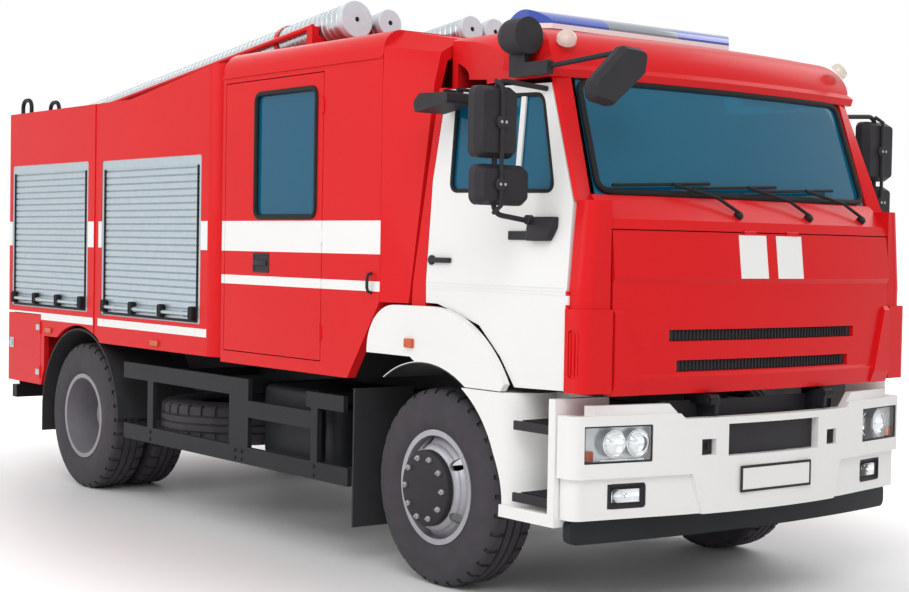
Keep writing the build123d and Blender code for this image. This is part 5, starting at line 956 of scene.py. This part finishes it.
# Columns: distance behind the bumper's front, half width, lower edge, upper edge
DARK_PANELS = ((0.042, 0.336, 0.794, 0.946), (0.135, 0.655, 0.965, 1.062))
PANEL_STEPS = 8
PANEL_DEPTH = 0.006
TOWING_Y = 0.465
TOWING_HALF = 0.042
TOWING_Z = (0.803, 0.877)
panel_parts = []
for inset, half, low, high in DARK_PANELS:
    across = [half * step / PANEL_STEPS for step in range(-PANEL_STEPS, PANEL_STEPS + 1)]
    panel_parts.append(bowed_strip([(on_bumper(inset, y), y, low) for y in across], high - low, -PANEL_DEPTH))
for hole_y in (TOWING_Y, -TOWING_Y):
    socket = eased_box((on_bumper(0.050, hole_y), hole_y - TOWING_HALF, TOWING_Z[0]),
                       (on_bumper(0.022, hole_y), hole_y + TOWING_HALF, TOWING_Z[1]), 0.004)
    panel_parts.append(press_in(socket, FORWARD, 0.014, -0.020))
done(joined(panel_parts), "bumper_dark_panels", "chassis", plastic)

# Door handles, latches, grab rails and what carries the mirrors
HANDLE_Z = 1.735
LOCK_CAP = ((0.026, -0.004), (0.026, 0.010), (0.020, 0.016), (0.0, 0.018))
# Outline of the mirror bracket on the door: x ahead of the axle, and height
BRACKET = ((0.772, 1.842), (0.930, 1.842), (0.968, 1.905), (0.968, 1.960), (0.772, 1.960))
BRACKET_BOSS = ((0.024, 0), (0.024, 0.030), (0.017, 0.037), (0, 0.038))
MIRROR_X = 0.795
MIRROR_DEPTH = 0.090
CLAMP_X = ahead(MIRROR_X) + MIRROR_DEPTH / 2
POLE_Y = 1.440
# Side view of the pole that joins the two mirror heads
POLE = ((0.795, 1.972), (0.850, 2.005), (0.850, 2.575), (0.795, 2.608))
CLAMP = ((0.034, -0.012), (0.034, 0.014), (0.026, 0.024), (0, 0.026))
CLAMP_HEIGHTS = (2.405, 2.108)
CLAMP_BOLT = ((0.008, 0), (0.008, 0.006), (0.004, 0.009), (0, 0.010))
CLAMP_BOLT_Y = 0.014
# Grab rail beside the crew door: distance out of the body's side, and height
GRAB_RAIL = ((-0.005, 1.545), (0.022, 1.553), (0.030, 1.575), (0.030, 1.625), (0.022, 1.647), (-0.005, 1.655))
GRAB_RAIL_X = -0.487
LATCH_KNOB = ((0.024, 0), (0.024, 0.008), (0.016, 0.013), (0, 0.014))
STRAP_HEIGHTS = (0.800, 1.140)


def on_body(inner, outer):
    """Limits of y from distances out of the body's side."""
    return BODY_SIDE_Y + inner, BODY_SIDE_Y + outer


def cab_door_handle():
    """Round lock with a lever."""
    lock = lathe(LOCK_CAP, (ahead(-0.014), cab_side(HANDLE_Z), HANDLE_Z), (0, 1, 0), 20)
    lever = block((-0.010, 0.152), (1.188, 1.213), (1.722, 1.749), 0.008, 3)
    return joined([lock, lever])


def mirror_bracket():
    """Foot of the mirror pole on the door, with a bare sign beside it."""
    foot = plate([(ahead(x), cab_side(z) - 0.004, z) for x, z in BRACKET], (0, 0.045, 0))
    ease(foot, 0.010, 3)
    boss = lathe(BRACKET_BOSS, (ahead(MIRROR_X), 1.200, 1.945), (0, 1, 0), 20)
    sign = block((0.607, 0.768), (1.172, 1.192), (1.846, 1.890), 0.004)
    press_in(sign, OUTWARD, 0.006, -0.002)
    return joined([foot, boss, sign])


def mirror_stay():
    """Pole between the mirror heads with a round clamp on each head."""
    pole = bead([(ahead(x), POLE_Y, z) for x, z in POLE], 0.011)
    return joined([pole] + [lathe(CLAMP, (CLAMP_X, POLE_Y, z), (1, 0, 0), 20) for z in CLAMP_HEIGHTS])


def clamp_bolts():
    """Two bolts in each clamp."""
    spots = [(CLAMP_X + 0.022, POLE_Y + y, z) for z in CLAMP_HEIGHTS for y in (-CLAMP_BOLT_Y, CLAMP_BOLT_Y)]
    return joined([lathe(CLAMP_BOLT, spot, (1, 0, 0), 8) for spot in spots])


def crew_door_handle():
    """Shallow cup with a pull across it."""
    cup = block((-1.745, -1.560), on_body(-0.004, 0.005), (1.630, 1.750), 0.003)
    press_in(cup, OUTWARD, 0.012, -0.004)
    pull = block((-1.725, -1.580), on_body(0, 0.014), (1.672, 1.706), 0.006, 3)
    return joined([cup, pull])


def grab_rail():
    """Bent bar beside the crew door."""
    return bead([(ahead(GRAB_RAIL_X), BODY_SIDE_Y + out, z) for out, z in GRAB_RAIL], 0.009)


def locker_fittings():
    """Latch with its knob, and two hinge straps."""
    latch = block((-5.420, -5.350), on_body(-0.002, 0.006), (0.960, 1.040), 0.004)
    knob = lathe(LATCH_KNOB, (ahead(-5.385), BODY_SIDE_Y + 0.005, 1.000), (0, 1, 0), 20)
    straps = [block((-4.930, -4.862), on_body(-0.002, 0.005), (z - 0.022, z + 0.022), 0.003)
              for z in STRAP_HEIGHTS]
    return joined([latch, knob] + straps)


both_sides(cab_door_handle(), "cab_door_handle", "cab_door_{}", plastic)
both_sides(mirror_bracket(), "mirror_bracket", "cab_door_{}", plastic)
both_sides(mirror_stay(), "mirror_stay", "cab_door_{}", plastic)
both_sides(clamp_bolts(), "mirror_clamp_bolts", "cab_door_{}", wheel_paint)
both_sides(crew_door_handle(), "crew_door_handle", "crew_door_{}", plastic)
both_sides(grab_rail(), "crew_grab_rail", "chassis", plastic)
both_sides(locker_fittings(), "locker_fittings", "locker_door_{}", slat_metal)

# Shutter fittings: dark brackets on the lift bar and a rubber along the foot, with dark strips up the sides
# that are painted shade of the gaps beside each shutter
# Columns: rear x, front x, lower edge, upper edge
SIDE_SHUTTERS = ((-3.830, -2.400, 1.280, 2.370), (-5.400, -4.050, 1.290, 2.376))
BAR_RISE = 0.062
BAR_INSET = 0.080
BRACKET_COUNT = 4
BRACKET_HALF = 0.026
FOOT_INSET = 0.040
GAP_SHADE_INSET = 0.046
GAP_SHADE_HALF = 0.007
SHUTTER_FACE_Y = BODY_SIDE_Y - 0.008
BRACKET_Y = (SHUTTER_FACE_Y - 0.002, SHUTTER_FACE_Y + 0.043)
FOOT_AND_GAP_SHADE_Y = (SHUTTER_FACE_Y - 0.004, SHUTTER_FACE_Y + 0.010)
fittings = []
for rear, front, low, high in SIDE_SHUTTERS:
    bar_z = low + BAR_RISE
    for place in range(BRACKET_COUNT):
        x = rear + BAR_INSET + (front - rear - 2 * BAR_INSET) * place / (BRACKET_COUNT - 1)
        bracket_x = (x - BRACKET_HALF, x + BRACKET_HALF)
        bracket = block(bracket_x, BRACKET_Y, (bar_z - 0.036, bar_z + 0.050), 0.012, 3)
        fittings.append(press_in(bracket, OUTWARD, 0.008, -0.006))
    foot_x = (rear + FOOT_INSET, front - FOOT_INSET)
    fittings.append(block(foot_x, FOOT_AND_GAP_SHADE_Y, (low + 0.008, low + 0.026), 0.005))
    # Dark strips up each side: painted shade of the gap beside the shutter
    for x in (rear + GAP_SHADE_INSET, front - GAP_SHADE_INSET):
        gap_shade_x = (x - GAP_SHADE_HALF, x + GAP_SHADE_HALF)
        fittings.append(block(gap_shade_x, FOOT_AND_GAP_SHADE_Y, (low + 0.028, high - 0.064), 0.003, 1))
both_sides(joined(fittings), "shutter_fittings_and_gap_shade", "chassis", gasket_rubber)

# Mirror glass on the back of each door mirror head
# Columns: limits of y outward, and of z
MIRROR_PANES = (((1.338, 1.550), (2.255, 2.560)), ((1.260, 1.540), (2.030, 2.186)))
PANE_X = (-0.003, 0.002)
PANE_ROUND = 0.030


def mirror_pane(y, z):
    """Flat pane with its four corners rounded."""
    back_x = ahead(MIRROR_X) - MIRROR_DEPTH / 2
    pane = start_box((back_x + PANE_X[0], y[0], z[0]), (back_x + PANE_X[1], y[1], z[1]))
    corners = pane.data.vertices

    def along_x(edge):
        """True for the short edges through the pane."""
        start, end = [corners[index].co for index in edge.vertices]
        return abs(start.x - end.x) > 0.004

    pick(pane, "EDGE", pane.data.edges, along_x)
    bpy.ops.mesh.bevel(offset=PANE_ROUND, segments=4)
    mode("OBJECT")
    return pane


panes = joined([mirror_pane(y, z) for y, z in MIRROR_PANES])
both_sides(panes, "mirror_glass", "cab_door_{}", mirror_glass)

# Grip plates on the steps: a plate with bars across it and a thick outer edge on each tread
TREAD_TOPS = (0.596, 0.951)
STEP_X = (0.765, 1.005)
STEP_Y = (0.975, 1.228)
STEP_EDGE_X = (0.735, 1.005)
STEP_EDGE_Y = (1.224, 1.242)
GRIP_BARS = 9
GRIP_PITCH = 0.026
FIRST_BAR_X = (0.775, 0.787)
BAR_Y = (0.985, 1.218)
grips = []
for top in TREAD_TOPS:
    grips.append(block(STEP_X, STEP_Y, (top - 0.030, top + 0.004), 0.003))
    bar = block(FIRST_BAR_X, BAR_Y, (top + 0.003, top + 0.010), 0.003, 1)
    grips += [copy_of(bar, (GRIP_PITCH * place, 0, 0)) for place in range(GRIP_BARS)]
    bpy.data.objects.remove(bar)
    grips.append(block(STEP_EDGE_X, STEP_EDGE_Y, (top - 0.040, top + 0.006), 0.005, 3))
both_sides(joined(grips), "step_grips", "chassis", plastic)

# Hose tubes: spiral duct with ridges, a pale cap with a hole at the front and a dark disc in the hole as
# painted shade, and the strap that holds them
# Columns: y, x of the front end, height of the front end, radius
TUBES = ((-0.700, -1.470, 3.193, 0.112), (-0.470, -1.440, 3.190, 0.082), (0.070, -1.300, 3.190, 0.082),
         (0.260, -1.300, 3.190, 0.082))
TUBE_REAR_X = -5.200
TUBE_FALL = 0.1147
RIDGE_PITCH = 0.055
RIDGE_HEIGHT = 0.004
RIDGE_HALF = 0.004
RIDGE_FOOT_HALF = 0.008
CAP_HOLE = 0.016
STRAP_X = -2.230
STRAP_HALF = 0.022
STRAP_THICKNESS = 0.004


def on_tube(tube, x):
    """Point of a tube's middle line."""
    y, front_x, front_z = tube[:3]
    return Vector((ahead(x), y, front_z - (front_x - x) * TUBE_FALL))


def duct_profile(radius, length):
    """Wall of a duct with its ridges, closed at both ends."""
    wall = radius - RIDGE_HEIGHT
    profile = [(0, 0), (wall, 0)]
    for ridge in range(1, int(length / RIDGE_PITCH)):
        crest = ridge * RIDGE_PITCH
        profile += [(wall, crest - RIDGE_FOOT_HALF), (radius, crest - RIDGE_HALF),
                    (radius, crest + RIDGE_HALF), (wall, crest + RIDGE_FOOT_HALF)]
    return profile + [(wall, length - 0.010), (0, length - 0.010)]


ducts = []
caps = []
hole_shade_discs = []
for tube in TUBES:
    radius = tube[3]
    front_end = on_tube(tube, tube[1])
    rear_end = on_tube(tube, TUBE_REAR_X)
    along = (front_end - rear_end).normalized()
    ducts.append(lathe(duct_profile(radius, (front_end - rear_end).length), rear_end, along, 36))
    rim = radius + 0.004
    cap = ((rim, -0.045), (rim, -0.002), (rim - 0.004, 0.002), (CAP_HOLE, 0.003), (CAP_HOLE, -0.006),
           (0, -0.006))
    caps.append(lathe(cap, front_end, along, 36))
    # Dark disc in each cap's hole: painted shade
    hole_shade_radius = CAP_HOLE - 0.001
    hole_shade_discs.append(lathe(((hole_shade_radius, -0.006), (hole_shade_radius, -0.002), (0, -0.002)), front_end, along, 16))
duct = done(joined(ducts), "spiral_hose_tubes", "chassis", galvanised)
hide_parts("hose_tubes")
done(joined(caps), "hose_tube_caps", "chassis", cap_metal)
done(joined(hole_shade_discs), "hose_tube_cap_hole_shade", "chassis", gasket_rubber)
strap_inside = TUBES[0][3] + 0.003
strap_outside = strap_inside + STRAP_THICKNESS
strap_section = ((strap_inside, -STRAP_HALF), (strap_outside, -STRAP_HALF), (strap_outside, STRAP_HALF),
                 (strap_inside, STRAP_HALF), (strap_inside, -STRAP_HALF))
strap = lathe(strap_section, on_tube(TUBES[0], STRAP_X), (1, 0, TUBE_FALL), 36)
done(strap, "hose_tube_strap", "chassis", red)

# Bolts along the side guards
BOLT_SPOTS = [(x, z) for x in (-3.090, -1.960, -1.880, -1.065) for z in (0.470, 0.520)]
BOLT_HEAD = ((0.013, 0), (0.013, 0.004), (0.008, 0.008), (0, 0.009))
GUARD_FACE_Y = BODY_SIDE_Y - 0.015
bolts = [lathe(BOLT_HEAD, (ahead(x), GUARD_FACE_Y, z), (0, 1, 0), 6) for x, z in BOLT_SPOTS]
both_sides(joined(bolts), "side_guard_bolts", "chassis", chassis_black)

# Seats: cushions that are filled with air for a moment, on plain bases
PAD_VOXEL = 0.018
PAD_CAP = 0.022
PAD_PRESSURE = 4
PAD_FRAMES = 20


def swell(piece):
    """Fills a cushion with air by a cloth simulation and caps how far its skin moves."""
    before = [vertex.co.copy() for vertex in piece.data.vertices]
    bpy.ops.object.modifier_add(type="CLOTH")
    cloth_sim = piece.modifiers[-1]
    cloth_sim.settings.use_pressure = True
    cloth_sim.settings.uniform_pressure_force = PAD_PRESSURE
    cloth_sim.settings.effector_weights.gravity = 0
    for number in range(1, PAD_FRAMES + 1):
        bpy.context.scene.frame_set(number)
    choose(piece)
    bpy.ops.object.modifier_apply(modifier=cloth_sim.name)
    bpy.context.scene.frame_set(1)
    for vertex, start in zip(piece.data.vertices, before):
        move = vertex.co - start
        if move.length > PAD_CAP:
            vertex.co = start + move.normalized() * PAD_CAP


def pad(x, y, z, lean=0.0):
    """Cushion between limits of x ahead of the axle, y and z, leaning back by an angle."""
    piece = block(x, y, z, 0.045, 4)
    choose(piece)
    piece.data.remesh_voxel_size = PAD_VOXEL
    bpy.ops.object.voxel_remesh()
    swell(piece)
    hinge = Matrix.Translation((ahead(x[0]), 0, z[0]))
    piece.matrix_world = hinge @ Matrix.Rotation(-lean, 4, "Y") @ hinge.inverted()
    return settle(piece)


# Columns: y limits of the seat
CAB_SEATS = ((0.460, 0.840), (-1.040, -0.460))
HEAD_REST_HALF = 0.14
cab_pads = []
for low_y, high_y in CAB_SEATS:
    seat_middle = (low_y + high_y) / 2
    cab_pads.append(pad((0.185, 0.660), (low_y, high_y), (1.560, 1.680)))
    cab_pads.append(pad((0.075, 0.175), (low_y, high_y), (1.690, 2.140), 0.16))
    head_y = (seat_middle - HEAD_REST_HALF, seat_middle + HEAD_REST_HALF)
    cab_pads.append(pad((0.010, 0.085), head_y, (2.180, 2.310), 0.10))
seats = done(joined(cab_pads), "cab_seat_pads", "cab", cloth)
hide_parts("cab_seats")
bases = [block((0.220, 0.530), (low_y + 0.05, high_y - 0.05), (1.252, 1.545), 0.02)
         for low_y, high_y in CAB_SEATS]
done(joined(bases), "cab_seat_bases", "cab", plastic)

BENCH_PLACES = (-0.760, 0.0, 0.760)
BENCH_HALF = 0.365
bench_pads = []
for place in BENCH_PLACES:
    place_y = (place - BENCH_HALF, place + BENCH_HALF)
    bench_pads.append(pad((-1.950, -1.585), place_y, (1.430, 1.535)))
    bench_pads.append(pad((-2.060, -1.985), place_y, (1.560, 2.120), -0.02))
bench = done(joined(bench_pads), "crew_bench_pads", "chassis", cloth)
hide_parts("crew_bench")
bench_base = block((-2.070, -1.600), (-1.130, 1.130), (1.115, 1.405), 0.015)
done(bench_base, "crew_bench_base", "chassis", plastic)

# Studio: pale floor, soft lamps and the photograph's camera
scene = bpy.context.scene
scene.view_settings.view_transform = "Standard"


def seen_directly(tree):
    """1 for what the camera sees, straight on or through metal and glass."""
    path = add(tree, "LightPath")
    direct = maths(tree, "MAXIMUM", path.outputs["Is Camera Ray"], path.outputs["Is Glossy Ray"])
    return maths(tree, "MAXIMUM", direct, path.outputs["Is Transmission Ray"])


# Floor: pale paint that turns to the white of the background away from the truck's shadow
FLOOR_GLOW = 0.58
SHADOW_SIZE = (4.4, 2.6, 1.0)
floor_material, floor_tree = new_material("pale_studio_floor")
floor_reach = add(floor_tree, "VectorMath", {0: here(floor_tree), 1: SHADOW_SIZE}, operation="DIVIDE")
floor_far = add(floor_tree, "VectorMath", {0: floor_reach.outputs[0]}, operation="LENGTH")
fade_limits = {"Value": floor_far.outputs["Value"], "From Min": 0.65, "From Max": 1.7, "To Min": 0.0,
               "To Max": FLOOR_GLOW}
floor_fade = add(floor_tree, "MapRange", fade_limits, interpolation_type="SMOOTHSTEP")
floor_glow = maths(floor_tree, "MULTIPLY", floor_fade.outputs[0], seen_directly(floor_tree))
shade(floor_tree, {"Base Color": mottled(floor_tree, "#F4F4F4", "#F0F0F0", 4000), "Roughness": 0.55,
                   "IOR": 1.45, "Emission Color": (1, 1, 1, 1), "Emission Strength": floor_glow})
begin()
bpy.ops.mesh.primitive_plane_add(size=120, location=(0, 0, 0))
studio_floor = bpy.context.object
studio_floor.name = "studio_floor"
paint(studio_floor, floor_material)

world = bpy.data.worlds.new("white_studio")
scene.world = world
world.use_nodes = True
world_tree = world.node_tree
world_tree.nodes.clear()
WORLD_LIGHT = 0.60
level = add(world_tree, "Mix", {0: seen_directly(world_tree), 2: WORLD_LIGHT, 3: 1.0})
sky = add(world_tree, "Background", {"Color": (1, 1, 1, 1), "Strength": level.outputs[0]})
add(world_tree, "OutputWorld", {"Surface": sky.outputs[0]})

# Columns: name, place, size, power, what it is aimed at
LAMPS = (
    ("key_softbox", (9.0, -7.0, 9.0), 7.0, 500, (0.5, 0, 1.4)),
    ("side_softbox", (-3.0, -11.0, 6.0), 8.0, 350, (0, 0, 1.3)),
    ("far_softbox", (2.0, 10.0, 8.0), 7.0, 240, (0, 0, 1.5)),
    ("rear_softbox", (-11.0, 2.0, 6.0), 6.0, 160, (0, 0, 1.5)),
)
for name, place, size, power, target in LAMPS:
    light = bpy.data.lights.new(name, "AREA")
    light.size = size
    light.energy = power
    lamp = bpy.data.objects.new(name, light)
    lamp.location = place
    lamp.rotation_euler = (Vector(target) - Vector(place)).to_track_quat("-Z", "Y").to_euler()
    scene.collection.objects.link(lamp)

# Camera solved on the photograph: place, turn about Z, rise and roll in degrees, lens in millimetres
CAMERA_PLACE = (9.0128, -6.4482, 1.8054)
CAMERA_YAW = radians(52.085)
CAMERA_PITCH = radians(-1.705)
CAMERA_ROLL = radians(1.000)
forward = Vector((-sin(CAMERA_YAW) * cos(CAMERA_PITCH), cos(CAMERA_YAW) * cos(CAMERA_PITCH),
                  sin(CAMERA_PITCH)))
level_right = Vector((cos(CAMERA_YAW), sin(CAMERA_YAW), 0))
level_up = level_right.cross(forward)
right = level_right * cos(CAMERA_ROLL) + level_up * sin(CAMERA_ROLL)
upward = level_up * cos(CAMERA_ROLL) - level_right * sin(CAMERA_ROLL)
camera_data = bpy.data.cameras.new("photo_camera")
camera_data.lens = 65.19
camera_data.sensor_width = 36
camera = bpy.data.objects.new("photo_camera", camera_data)
camera.matrix_world = Matrix((
    (right.x, upward.x, -forward.x, CAMERA_PLACE[0]),
    (right.y, upward.y, -forward.y, CAMERA_PLACE[1]),
    (right.z, upward.z, -forward.z, CAMERA_PLACE[2]),
    (0, 0, 0, 1),
))
scene.collection.objects.link(camera)
scene.camera = camera
